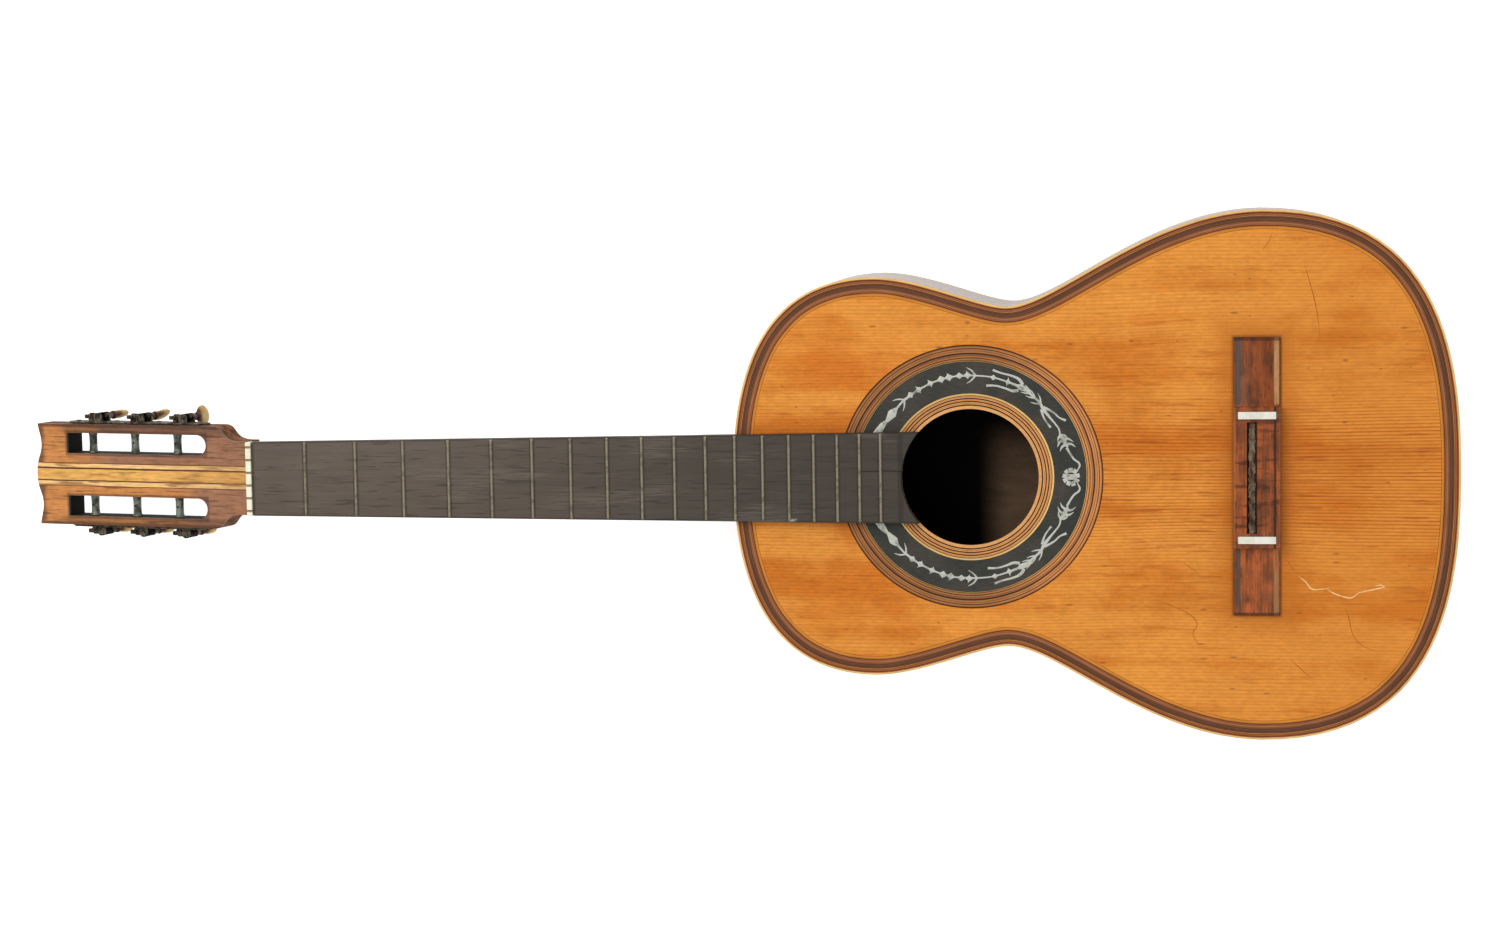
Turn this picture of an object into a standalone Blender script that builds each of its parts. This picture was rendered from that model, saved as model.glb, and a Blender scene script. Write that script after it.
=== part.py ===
"""A nylon-string guitar, lying on its back: hollow body, neck, slotted head and six worm-geared tuners.

Frame: +X runs from the head to the tail, +Y to the treble side, +Z out of the soundboard.
The back is at Z = 0. Lengths along the neck are measured from the nut, as a luthier does.
"""

import math

import bmesh
import bpy
from mathutils import Matrix, Vector
from mathutils.geometry import interpolate_bezier

# Fits between pieces that touch
GAP = 0.0003
INLAY_GAP = 0.0002
RUNNING_GAP = 0.0003
CUT_MARGIN = 0.004
WELD_DISTANCE = 0.00001

# Strings and fingerboard
SCALE_LENGTH = 0.650
FRET_COUNT = 18
NUT_LENGTH = 0.0492
BOARD_TAPER = 0.0225
BOARD_THICKNESS = 0.0057
FRET_WIDTH = 0.0018
FRET_HEIGHT = 0.0010
FRET_SINK = 0.0005
FRET_INSET = 0.0006
NUT_WIDTH = 0.0037
NUT_RISE = 0.0013
STRING_COUNT = 6
STRING_SPREAD = 0.0426
NUT_SLOT_WIDTH = 0.0012
NUT_SLOT_DEPTH = 0.0010



def fret_position(number):
    """Equal temperament: each fret leaves a twelfth root of a half of the string."""
    return SCALE_LENGTH * (1.0 - 2.0 ** (-number / 12.0))


# Body outline: the distance from the nut and the half width at each station
BODY_FRET = 12
BODY_DEPTH = 0.088
NECK_END = fret_position(BODY_FRET) - 0.0020
UPPER_BOUT = (NECK_END + 0.0924, 0.1296)
WAIST = (NECK_END + 0.1787, 0.1100)
LOWER_BOUT = (NECK_END + 0.3409, 0.1699)
TAIL = NECK_END + 0.4649
SHOULDER_FULLNESS = (0.0823, 0.0626)
UPPER_BOUT_TO_WAIST = (0.0290, 0.0171)
WAIST_TO_LOWER_BOUT = (0.0319, 0.0731)
TAIL_FULLNESS = (0.1183, 0.0633)
OUTLINE_STEPS = 7

# Plates, ribs and the strips along their edges
TOP_THICKNESS = 0.0026
BACK_THICKNESS = 0.0028
RIB_THICKNESS = 0.0024
BINDING_WIDTH = 0.0020
BINDING_HEIGHT = 0.0050
PURFLING_WIDTH = 0.0098
PURFLING_THICKNESS = 0.0008
LINING_WIDTH = 0.0060
LINING_HEIGHT = 0.0140

# Soundhole and rosette: the fingerboard ends at the hole, just past its last half fret
HOLE_FRET = 19
HOLE_RADIUS = 0.0442
HOLE_X = fret_position(HOLE_FRET) + 0.0004 + HOLE_RADIUS
ROSETTE_RADII = (0.0470, 0.0542, 0.0748, 0.0854)
ROSETTE_THICKNESS = 0.0008
CIRCLE_STEPS = 46

# Braces and blocks inside the body
HARMONIC_BARS = {"upper": HOLE_X - 0.0587, "lower": HOLE_X + 0.0623}
HARMONIC_BAR_SIZE = (0.0080, 0.0180)
FAN_STRUT_COUNT = 5
FAN_STRUT_ANGLE = math.radians(6.0)
FAN_STRUT_START = HOLE_X + 0.0783
FAN_STRUT_END = TAIL - 0.0429
FAN_STRUT_SIZE = (0.0060, 0.0050)
BACK_BARS = {"upper": NECK_END + 0.0920, "middle": NECK_END + 0.2020, "lower": NECK_END + 0.3320}
BACK_BAR_SIZE = (0.0070, 0.0140)
BAR_END_HEIGHT = 0.0030
BAR_END_TAPER = 0.0250
STRUT_END_TAPER = 0.0200
NECK_BLOCK_SIZE = (0.0480, 0.0840)
TAIL_BLOCK_SIZE = (0.0220, 0.0760)

# Neck and heel
NECK_DEPTH_AT_NUT = 0.0160
NECK_DEPTH_AT_HEEL = 0.0180
HEEL_START = NECK_END - 0.0750
HEEL_FULL = NECK_END - 0.0280
HEEL_FOOT_LENGTH = 0.0140
HEEL_FOOT_HALF_WIDTH = 0.0130
HEEL_CAP_THICKNESS = 0.0027
SHAFT_ROUNDNESS = 2.3
HEEL_ROUNDNESS = 1.35
HEEL_CURVE_POWER = 2.6
SECTION_STEPS = 9
SCARF_LENGTH = 0.0550

# Head, measured along its own tilted face from the nut
HEAD_TILT = math.radians(13.0)
HEAD_LENGTH = 0.1630
HEAD_HALF_WIDTH = 0.0345
HEAD_THICKNESS = 0.0190
VENEER_THICKNESS = 0.0020
CROWN_RISE = 0.0015
CROWN_SCOOP = 0.0026
CROWN_WAVE_END = 0.8
OGEE_START = 0.0050
OGEE_END = 0.0310
OGEE_SHIFT = 0.0010
OGEE_RISE = 0.0016
OGEE_START_PULL = 0.0090
OGEE_END_PULL = 0.0060
OGEE_MIDDLE_PULL = (0.0030, 0.0040)
SLOT_START = 0.0310
SLOT_END = 0.1400
SLOT_INNER = 0.0145
SLOT_WIDTH = 0.0139
STRIP_WIDTH = 0.0156
STRIP_THICKNESS = 0.0008

# Tuners: places along the head, and the worm and gear pair
TUNER_FIRST = 0.0583
TUNER_SPACING = 0.0333
TUNERS_PER_SIDE = 3
ROLLER_DEPTH = 0.0095
ROLLER_RADIUS = 0.0030
ROLLER_SEAT = 0.0055
STRING_HOLE_RADIUS = 0.0008
SPINDLE_RADIUS = 0.0016
PLATE_THICKNESS = 0.0012
PLATE_HEIGHT = 0.0140
PLATE_OVERHANG = 0.0180
PLATE_POINT = 0.0060
LUG_THICKNESS = 0.0016
LUG_WIDTH = 0.0056
LUG_OFFSET = 0.0054
GEAR_TEETH = 14
THREAD_PITCH = 0.00235
THREAD_TURNS = 2
THREAD_ROOT_RADIUS = 0.0017
THREAD_CREST_RADIUS = 0.0029
THREAD_PITCH_RADIUS = 0.00245
THREAD_ROOT_WIDTH = 0.00135
THREAD_CREST_WIDTH = 0.00055
GEAR_WIDTH = 0.0030
GEAR_ROOT_DROP = 0.00079
GEAR_TIP_RISE = 0.00041
GEAR_ROOT_TOOTH = 0.00135
GEAR_TIP_TOOTH = 0.00060
HUB_RADIUS = 0.0028
SCREW_RADIUS = 0.0021
SCREW_HEIGHT = 0.0012
SHAFT_RADIUS = 0.0015
FERRULE_RADIUS = 0.0024
FERRULE_LENGTH = 0.0034
BUTTON_DEPTH = 0.0300
BUTTON_RADIUS = 0.0070
BUTTON_HALF_THICKNESS = 0.0029
BUTTON_NECK_RADIUS = 0.0030
BUTTON_NECK_LENGTH = 0.0046
BUTTON_SEAT = 0.0036
BUTTON_TURNS = {"treble": (-25.0, -65.0, -78.0), "bass": (88.0, 84.0, 78.0)}

# Bridge
BRIDGE_X = SCALE_LENGTH + 0.0104
BRIDGE_WIDTH = 0.0294
BRIDGE_LENGTH = 0.1782
WING_HEIGHT = 0.0034
WING_EDGE = 0.0012
WING_BEVEL = 0.0032
TIE_BLOCK_LENGTH = 0.0906
TIE_BLOCK_HEIGHT = 0.0090
TIE_BLOCK_BEVEL = 0.0012
CHANNEL_X = BRIDGE_X - 0.0032
CHANNEL_WIDTH = 0.0064
CHANNEL_LENGTH = 0.0712
CHANNEL_DEPTH = 0.0030
SADDLE_SLOT_WIDTH = 0.0025
SADDLE_SLOT_DEPTH = 0.0028
BONE_STRIP_Y = 0.0398
BONE_STRIP_SIZE = (0.0240, 0.0048, 0.0012)
STRING_SPREAD_AT_BRIDGE = 0.0580
TIE_HOLE_RADIUS = 0.0010
TIE_HOLE_HEIGHT = 0.0046

# Places worked out from the sizes above
HEAD_PIVOT_X = -(NUT_WIDTH + 2 * GAP + VENEER_THICKNESS * math.sin(HEAD_TILT))
HEAD_TIP_X = HEAD_PIVOT_X - (HEAD_LENGTH + CROWN_RISE) * math.cos(HEAD_TILT)
ORIGIN_X = (HEAD_TIP_X + TAIL) / 2
BOARD_TOP = BODY_DEPTH + GAP + BOARD_THICKNESS
HEAD_FACE_Z = BODY_DEPTH + VENEER_THICKNESS + GAP
SLAB_TOP = -(VENEER_THICKNESS + GAP)
SIDES = {"treble": 1.0, "bass": -1.0}
GEAR_PITCH_RADIUS = GEAR_TEETH * THREAD_PITCH / math.tau
WORM_OFFSET = GEAR_PITCH_RADIUS + THREAD_PITCH_RADIUS
PLATE_INNER = HEAD_HALF_WIDTH + GAP
PLATE_OUTER = PLATE_INNER + PLATE_THICKNESS
WORM_Y = PLATE_OUTER + THREAD_CREST_RADIUS + RUNNING_GAP

WOODS = {
    "spruce": ((0.52, 0.21, 0.045), 0.38, 0.0),
    "rosewood": ((0.115, 0.038, 0.018), 0.42, 0.0),
    "cedar": ((0.23, 0.10, 0.045), 0.50, 0.0),
    "ebony": ((0.085, 0.067, 0.052), 0.55, 0.0),
    "mahogany": ((0.20, 0.075, 0.032), 0.45, 0.0),
    "maple": ((0.62, 0.40, 0.18), 0.45, 0.0),
    "black_ring": ((0.012, 0.011, 0.010), 0.35, 0.0),
    "bone": ((0.78, 0.66, 0.45), 0.40, 0.0),
    "aged_steel": ((0.16, 0.16, 0.14), 0.48, 0.85),
    "brass": ((0.35, 0.28, 0.14), 0.40, 0.9),
}


def clear_scene():
    """Remove everything that the scene starts with."""
    for obj in list(bpy.data.objects):
        bpy.data.objects.remove(obj, do_unlink=True)


def new_collection(name):
    """A collection linked to the scene."""
    collection = bpy.data.collections.new(name)
    bpy.context.scene.collection.children.link(collection)
    return collection


clear_scene()
PARTS = new_collection("nylon_string_guitar")
CUTTERS = new_collection("cutters")


def material(name):
    """The named finish as a Principled material, made once."""
    found = bpy.data.materials.get(name)
    if found:
        return found
    colour, roughness, metallic = WOODS[name]
    made = bpy.data.materials.new(name)
    made.use_nodes = True
    shader = made.node_tree.nodes["Principled BSDF"]
    shader.inputs["Base Color"].default_value = (*colour, 1.0)
    shader.inputs["Roughness"].default_value = roughness
    shader.inputs["Metallic"].default_value = metallic
    return made


def empty(name, location, rotation=(0.0, 0.0, 0.0), parent=None):
    """An empty that carries a sub-assembly."""
    obj = bpy.data.objects.new(name, None)
    obj.location = location
    obj.rotation_euler = rotation
    obj.parent = parent
    PARTS.objects.link(obj)
    return obj


def add_object(name, mesh, finish=None, parent=None, location=(0, 0, 0), rotation=(0, 0, 0)):
    """Link a mesh as a visible sub-part, or as a hidden cutter when it has no finish."""
    obj = bpy.data.objects.new(name, mesh)
    obj.location = location
    obj.rotation_euler = rotation
    obj.parent = parent
    if finish:
        mesh.materials.append(material(finish))
        PARTS.objects.link(obj)
    else:
        obj.hide_render = True
        obj.display_type = "WIRE"
        CUTTERS.objects.link(obj)
    return obj


def mesh_from(bm, name):
    """Turn a bmesh into a mesh with its normals outward and its round parts smooth."""
    bmesh.ops.recalc_face_normals(bm, faces=bm.faces)
    mesh = bpy.data.meshes.new(name)
    bm.to_mesh(mesh)
    bm.free()
    mesh.shade_smooth()
    mesh.set_sharp_from_angle(angle=math.radians(35))
    return mesh


def flat_mesh(name, loops, low, high):
    """Extrude closed loops of (x, y) points from height low to high; inner loops are holes."""
    curve = bpy.data.curves.new(name, "CURVE")
    curve.dimensions = "2D"
    curve.fill_mode = "BOTH"
    curve.extrude = (high - low) / 2
    for loop in loops:
        spline = curve.splines.new("POLY")
        spline.points.add(len(loop) - 1)
        for point, (x, y) in zip(spline.points, loop):
            point.co = (x, y, 0.0, 1.0)
        spline.use_cyclic_u = True
    source = bpy.data.objects.new(name, curve)
    bpy.context.scene.collection.objects.link(source)
    graph = bpy.context.evaluated_depsgraph_get()
    made = bpy.data.meshes.new_from_object(source.evaluated_get(graph))
    bpy.data.objects.remove(source, do_unlink=True)
    bm = bmesh.new()
    bm.from_mesh(made)
    bpy.data.meshes.remove(made)
    bmesh.ops.remove_doubles(bm, verts=bm.verts, dist=1e-6)
    bmesh.ops.translate(bm, verts=bm.verts, vec=(0.0, 0.0, (low + high) / 2))
    return mesh_from(bm, name)


def box_mesh(name, size, centre=(0.0, 0.0, 0.0)):
    """A box of the given size about a centre."""
    bm = bmesh.new()
    place = Matrix.Translation(centre) @ Matrix.Diagonal((*size, 1.0))
    bmesh.ops.create_cube(bm, size=1.0, matrix=place)
    return mesh_from(bm, name)


def rod_mesh(name, radius, start, end, axis="Z", steps=14, centre=(0.0, 0.0)):
    """A cylinder from start to end along an axis; centre gives its other two coordinates in order."""
    bm = bmesh.new()
    bmesh.ops.create_cone(
        bm, cap_ends=True, segments=steps, radius1=radius, radius2=radius, depth=abs(end - start)
    )
    middle = (start + end) / 2
    turns = {
        "X": (Matrix.Rotation(math.pi / 2, 4, "Y"), (middle, centre[0], centre[1])),
        "Y": (Matrix.Rotation(math.pi / 2, 4, "X"), (centre[0], middle, centre[1])),
        "Z": (Matrix.Identity(4), (centre[0], centre[1], middle)),
    }
    turn, place = turns[axis]
    bmesh.ops.transform(bm, matrix=Matrix.Translation(place) @ turn, verts=bm.verts)
    return mesh_from(bm, name)


def loft_mesh(name, sections):
    """Skin a row of closed sections that hold the same number of points, and cap both ends."""
    bm = bmesh.new()
    rings = [[bm.verts.new(point) for point in section] for section in sections]
    for ring, following in zip(rings, rings[1:]):
        for i in range(len(ring)):
            j = (i + 1) % len(ring)
            bm.faces.new((ring[i], ring[j], following[j], following[i]))
    bm.faces.new(rings[0])
    bm.faces.new(reversed(rings[-1]))
    return mesh_from(bm, name)


def combine(obj, other, operation="DIFFERENCE"):
    """Add a Boolean to an object, with another object or a whole collection as its operand."""
    modifier = obj.modifiers.new(operation.lower(), "BOOLEAN")
    modifier.operation = operation
    modifier.solver = "EXACT"
    if isinstance(other, bpy.types.Collection):
        modifier.operand_type = "COLLECTION"
        modifier.collection = other
    else:
        modifier.object = other
    return obj


def weld_parts():
    """Merge the points that a Boolean leaves almost on top of each other."""
    for obj in PARTS.objects:
        if obj.modifiers:
            obj.modifiers.new("weld", "WELD").merge_threshold = WELD_DISTANCE


def cutter_group(name, cutters):
    """Gather cutters that one Boolean uses together."""
    group = bpy.data.collections.new(name)
    CUTTERS.children.link(group)
    for cutter in cutters:
        group.objects.link(cutter)
        CUTTERS.objects.unlink(cutter)
    return group


def round_hole_radius(radius, steps):
    """The corner radius of a faceted hole whose flats clear a pin of this radius."""
    return (radius + RUNNING_GAP) / math.cos(math.pi / steps)


def half_outline(inset=0.0):
    """The treble half of the body outline from neck to tail, moved inwards by inset."""
    upper_x, upper_y = UPPER_BOUT
    waist_x, waist_y = WAIST
    lower_x, lower_y = LOWER_BOUT
    curves = (
        ((NECK_END, 0), (NECK_END, SHOULDER_FULLNESS[0]),
         (upper_x - SHOULDER_FULLNESS[1], upper_y), (upper_x, upper_y)),
        ((upper_x, upper_y), (upper_x + UPPER_BOUT_TO_WAIST[0], upper_y),
         (waist_x - UPPER_BOUT_TO_WAIST[1], waist_y), (waist_x, waist_y)),
        ((waist_x, waist_y), (waist_x + WAIST_TO_LOWER_BOUT[0], waist_y),
         (lower_x - WAIST_TO_LOWER_BOUT[1], lower_y), (lower_x, lower_y)),
        ((lower_x, lower_y), (lower_x + TAIL_FULLNESS[0], lower_y),
         (TAIL, TAIL_FULLNESS[1]), (TAIL, 0)),
    )
    points = []
    for curve in curves:
        knots = [Vector((x - ORIGIN_X, y, 0.0)) for x, y in curve]
        points += interpolate_bezier(*knots, OUTLINE_STEPS + 1)[: None if curve is curves[-1] else -1]
    moved = []
    for i, point in enumerate(points):
        if i == 0:
            along = Vector((0.0, 1.0, 0.0))
        elif i == len(points) - 1:
            along = Vector((0.0, -1.0, 0.0))
        else:
            along = (points[i + 1] - points[i - 1]).normalized()
        moved.append((point.x + along.y * inset, point.y - along.x * inset))
    return moved


def outline(inset=0.0):
    """The whole body outline, moved inwards by inset."""
    half = half_outline(inset)
    return half + [(x, -y) for x, y in reversed(half[1:-1])]


def half_strip(outer, inner, side):
    """A strip along one half of the outline, open by a gap at both ends of the centre line."""
    run = half_outline(outer) + list(reversed(half_outline(inner)))
    return [(x, side * max(y, GAP / 2)) for x, y in run]


def half_width_at(x, inset):
    """Half the body's width at a world x, measured to the outline moved inwards by inset."""
    points = half_outline(inset)
    for (x0, y0), (x1, y1) in zip(points, points[1:]):
        if x0 <= x <= x1:
            return y0 + (y1 - y0) * (x - x0) / (x1 - x0)
    return 0.0


def circle(radius, steps=CIRCLE_STEPS):
    """A circle about the soundhole's centre."""
    turns = [math.tau * i / steps for i in range(steps)]
    x = HOLE_X - ORIGIN_X
    return [(x + radius * math.cos(turn), radius * math.sin(turn)) for turn in turns]


TOP_UNDERSIDE = BODY_DEPTH - TOP_THICKNESS
PLATE_INSET = BINDING_WIDTH + GAP
PURFLING_INNER = PLATE_INSET + PURFLING_WIDTH
PURFLING_BOTTOM = BODY_DEPTH - PURFLING_THICKNESS
LINING_OUTER = RIB_THICKNESS + GAP
LINING_INNER = LINING_OUTER + LINING_WIDTH
TOP_LINING_SPAN = (TOP_UNDERSIDE - GAP - LINING_HEIGHT, TOP_UNDERSIDE - GAP)
BACK_LINING_SPAN = (BACK_THICKNESS + GAP, BACK_THICKNESS + GAP + LINING_HEIGHT)


def make_soundboard():
    """The spruce top, rebated for the purfling and the rosette and pierced by the soundhole."""
    board = add_object(
        "soundboard", flat_mesh("soundboard", [outline(PLATE_INSET)], TOP_UNDERSIDE, BODY_DEPTH), "spruce"
    )
    above = BODY_DEPTH + CUT_MARGIN
    edge = flat_mesh(
        "purfling_rebate",
        [outline(-CUT_MARGIN), outline(PURFLING_INNER + INLAY_GAP)],
        PURFLING_BOTTOM - INLAY_GAP,
        above,
    )
    recess = flat_mesh(
        "rosette_recess",
        [circle(ROSETTE_RADII[-1] + INLAY_GAP), circle(ROSETTE_RADII[0] - INLAY_GAP)],
        BODY_DEPTH - ROSETTE_THICKNESS - INLAY_GAP,
        above,
    )
    hole = flat_mesh("soundhole_cutter", [circle(HOLE_RADIUS)], TOP_UNDERSIDE - CUT_MARGIN, above)
    cuts = [add_object(mesh.name, mesh) for mesh in (edge, recess, hole)]
    combine(board, cutter_group("soundboard_cuts", cuts))


def make_rosette():
    """Three inlaid rings round the soundhole."""
    names = ("rosette_inner_ring", "rosette_black_ring", "rosette_outer_ring")
    finishes = ("maple", "black_ring", "rosewood")
    for name, finish, inner, outer in zip(names, finishes, ROSETTE_RADII, ROSETTE_RADII[1:]):
        loops = [circle(outer - INLAY_GAP / 2), circle(inner + INLAY_GAP / 2)]
        add_object(name, flat_mesh(name, loops, BODY_DEPTH - ROSETTE_THICKNESS, BODY_DEPTH), finish)


def make_shell():
    """The back, the two ribs, and the bindings, purfling and linings that run along their edges."""
    back = flat_mesh("back_plate", [outline(PLATE_INSET)], 0.0, BACK_THICKNESS)
    add_object("back_plate", back, "rosewood")
    for side, sign in SIDES.items():
        name = f"rib_{side}"
        rib = flat_mesh(
            name,
            [half_strip(0.0, RIB_THICKNESS, sign)],
            BINDING_HEIGHT + GAP,
            BODY_DEPTH - BINDING_HEIGHT - GAP,
        )
        add_object(name, rib, "rosewood")
    strips = {
        "top_binding": (0.0, BINDING_WIDTH, BODY_DEPTH - BINDING_HEIGHT, BODY_DEPTH, "maple"),
        "back_binding": (0.0, BINDING_WIDTH, 0.0, BINDING_HEIGHT, "maple"),
        "top_purfling": (PLATE_INSET, PURFLING_INNER, PURFLING_BOTTOM, BODY_DEPTH, "rosewood"),
        "top_lining": (LINING_OUTER, LINING_INNER, *TOP_LINING_SPAN, "cedar"),
        "back_lining": (LINING_OUTER, LINING_INNER, *BACK_LINING_SPAN, "cedar"),
    }
    for name, (outer, inner, low, high, finish) in strips.items():
        add_object(name, flat_mesh(name, [outline(outer), outline(inner)], low, high), finish)


def make_bar(name, length, size, taper, finish, location, rotation=(0.0, 0.0, 0.0), parent=None):
    """A brace along its local X with thinned ends, glued by its flat top to a plate above it."""
    width, height = size
    half = length / 2
    profile = [
        (-half, 0.0),
        (half, 0.0),
        (half, -BAR_END_HEIGHT),
        (half - taper, -height),
        (taper - half, -height),
        (-half, -BAR_END_HEIGHT),
    ]
    mesh = flat_mesh(name, [profile], -width / 2, width / 2)
    mesh.transform(Matrix.Rotation(math.pi / 2, 4, "X"))
    add_object(name, mesh, finish, parent, location, rotation)


def bar_length(x, width):
    """The span between the linings for a bar of this width that crosses the body at x."""
    edges = (x - width / 2, x + width / 2)
    return 2 * (min(half_width_at(edge, LINING_INNER) for edge in edges) - GAP)


def make_braces():
    """Harmonic bars and fan struts under the top, and cross bars on the back."""
    under_top = TOP_UNDERSIDE - GAP
    for name, station in HARMONIC_BARS.items():
        x = station - ORIGIN_X
        length = bar_length(x, HARMONIC_BAR_SIZE[0])
        turn = (0.0, 0.0, math.pi / 2)
        place = (x, 0.0, under_top)
        make_bar(f"harmonic_bar_{name}", length, HARMONIC_BAR_SIZE, BAR_END_TAPER, "cedar", place, turn)
    for name, station in BACK_BARS.items():
        x = station - ORIGIN_X
        length = bar_length(x, BACK_BAR_SIZE[0])
        turn = (math.pi, 0.0, math.pi / 2)
        place = (x, 0.0, BACK_THICKNESS + GAP)
        make_bar(f"back_bar_{name}", length, BACK_BAR_SIZE, BAR_END_TAPER, "cedar", place, turn)
    middle = (FAN_STRUT_START + FAN_STRUT_END) / 2 - NECK_END
    for i in range(FAN_STRUT_COUNT):
        angle = FAN_STRUT_ANGLE * ((FAN_STRUT_COUNT - 1) / 2 - i)
        x = NECK_END - ORIGIN_X + middle * math.cos(angle)
        place = (x, middle * math.sin(angle), under_top)
        length = FAN_STRUT_END - FAN_STRUT_START
        turn = (0.0, 0.0, angle)
        make_bar(f"fan_strut_{i + 1}", length, FAN_STRUT_SIZE, STRUT_END_TAPER, "spruce", place, turn)


def block_section(inset, height, end, inwards, size):
    """A level section of a block: along the ribs at this inset, then square across the body."""
    length, width = size
    step = 1 if inwards > 0 else -1
    along_rib = half_outline(inset)[::step]
    count = sum(y < width / 2 for _, y in half_outline()[::step][:OUTLINE_STEPS])
    (x0, y0), (x1, y1) = along_rib[count - 1 : count + 1]
    corner = (x0 + (x1 - x0) * (width / 2 - y0) / (y1 - y0), width / 2)
    half = [*along_rib[:count], corner, (end + inwards * length, width / 2)]
    ring = half + [(x, -y) for x, y in reversed(half[1:])]
    return [(x, y, height) for x, y in ring]


def make_blocks():
    """The neck and tail blocks, fitted to the ribs and notched for the linings."""
    low, high = BACK_LINING_SPAN[1] + GAP, TOP_LINING_SPAN[0] - GAP
    levels = (
        (LINING_INNER + GAP, BACK_THICKNESS + GAP),
        (LINING_INNER + GAP, low),
        (LINING_OUTER, low),
        (LINING_OUTER, high),
        (LINING_INNER + GAP, high),
        (LINING_INNER + GAP, TOP_UNDERSIDE - GAP),
    )
    blocks = {
        "neck_block": (NECK_END - ORIGIN_X, 1.0, NECK_BLOCK_SIZE),
        "tail_block": (TAIL - ORIGIN_X, -1.0, TAIL_BLOCK_SIZE),
    }
    for name, place in blocks.items():
        sections = [block_section(inset, height, *place) for inset, height in levels]
        add_object(name, loft_mesh(name, sections), "cedar")


def board_half_width(x):
    """Half the fingerboard's width at a distance x from the nut."""
    return (NUT_LENGTH + BOARD_TAPER * x) / 2


def make_fingerboard():
    """The tapered board, hollowed at its end to follow the soundhole, with its frets driven in."""
    end_half = board_half_width(HOLE_X - HOLE_RADIUS)
    reach = math.asin(end_half / HOLE_RADIUS)
    steps = 8
    turns = [reach * (2 * i / steps - 1) for i in range(steps + 1)]
    end = [(HOLE_X - HOLE_RADIUS * math.cos(turn), HOLE_RADIUS * math.sin(turn)) for turn in turns]
    nut_half = board_half_width(0.0)
    loop = [(x - ORIGIN_X, y) for x, y in [(0.0, -nut_half), *end, (0.0, nut_half)]]
    bottom = BODY_DEPTH + GAP
    board = add_object("fingerboard", flat_mesh("fingerboard", [loop], bottom, BOARD_TOP), "ebony")
    frets = []
    for number in range(1, FRET_COUNT + 1):
        x = fret_position(number)
        half = board_half_width(x) - FRET_INSET
        crown = [
            (-FRET_WIDTH / 2, -FRET_SINK),
            (FRET_WIDTH / 2, -FRET_SINK),
            (FRET_WIDTH / 2, FRET_HEIGHT / 2),
            (FRET_WIDTH / 4, FRET_HEIGHT),
            (-FRET_WIDTH / 4, FRET_HEIGHT),
            (-FRET_WIDTH / 2, FRET_HEIGHT / 2),
        ]
        mesh = flat_mesh(f"fret_{number}", [crown], -half, half)
        mesh.transform(Matrix.Rotation(math.pi / 2, 4, "X"))
        frets.append(add_object(f"fret_{number}", mesh, location=(x - ORIGIN_X, 0.0, BOARD_TOP)))
    combine(board, cutter_group("frets", frets), "UNION")


def string_places(spread):
    """The strings' distances from the centre line over this spread, treble side first."""
    return [spread * (0.5 - i / (STRING_COUNT - 1)) for i in range(STRING_COUNT)]


def make_nut():
    """The bone nut with its six string slots."""
    bottom = BODY_DEPTH + GAP
    top = BOARD_TOP + NUT_RISE
    size = (NUT_WIDTH, NUT_LENGTH, top - bottom)
    centre = (-ORIGIN_X - GAP - NUT_WIDTH / 2, 0.0, (bottom + top) / 2)
    nut = add_object("nut", box_mesh("nut", size), "bone", location=centre)
    slots = []
    for i, y in enumerate(string_places(STRING_SPREAD)):
        slot_size = (NUT_WIDTH + CUT_MARGIN, NUT_SLOT_WIDTH, 2 * NUT_SLOT_DEPTH)
        name = f"nut_slot_{i + 1}"
        slots.append(add_object(name, box_mesh(name, slot_size), location=(centre[0], y, top)))
    combine(nut, cutter_group("nut_slots", slots))


def heel_foot_half_width(x):
    """Half the width of the heel's flat foot, which starts as a half ellipse."""
    before_full = HEEL_FULL + HEEL_FOOT_LENGTH - x
    if before_full <= 0.0:
        return HEEL_FOOT_HALF_WIDTH
    share = min(before_full / HEEL_FOOT_LENGTH, 1.0)
    return HEEL_FOOT_HALF_WIDTH * math.sqrt(1.0 - share * share)


def neck_section(x):
    """The closed section of the neck at a distance x from the nut, flat on top and rounded below."""
    progress = min(max((x - HEEL_START) / (HEEL_FULL - HEEL_START), 0.0), 1.0)
    shaft = NECK_DEPTH_AT_NUT + (NECK_DEPTH_AT_HEEL - NECK_DEPTH_AT_NUT) * max(x, 0.0) / HEEL_START
    shaft = min(shaft, NECK_DEPTH_AT_HEEL)
    full = BODY_DEPTH - HEEL_CAP_THICKNESS - GAP
    depth = shaft + (full - shaft) * progress**HEEL_CURVE_POWER
    power = 2.0 / (SHAFT_ROUNDNESS + (HEEL_ROUNDNESS - SHAFT_ROUNDNESS) * progress)
    half = board_half_width(x)
    foot = heel_foot_half_width(x) if progress == 1.0 else 0.0
    side = []
    for i in range(SECTION_STEPS + 1):
        turn = math.pi / 2 * i / SECTION_STEPS
        y = foot + (half - foot) * max(math.cos(turn), 0.0) ** power
        if i == SECTION_STEPS:
            y = max(foot, GAP)
        side.append((y, BODY_DEPTH - depth * math.sin(turn) ** power))
    ring = side + [(-y, z) for y, z in reversed(side)]
    return [(x - ORIGIN_X, y, z) for y, z in ring]


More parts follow.
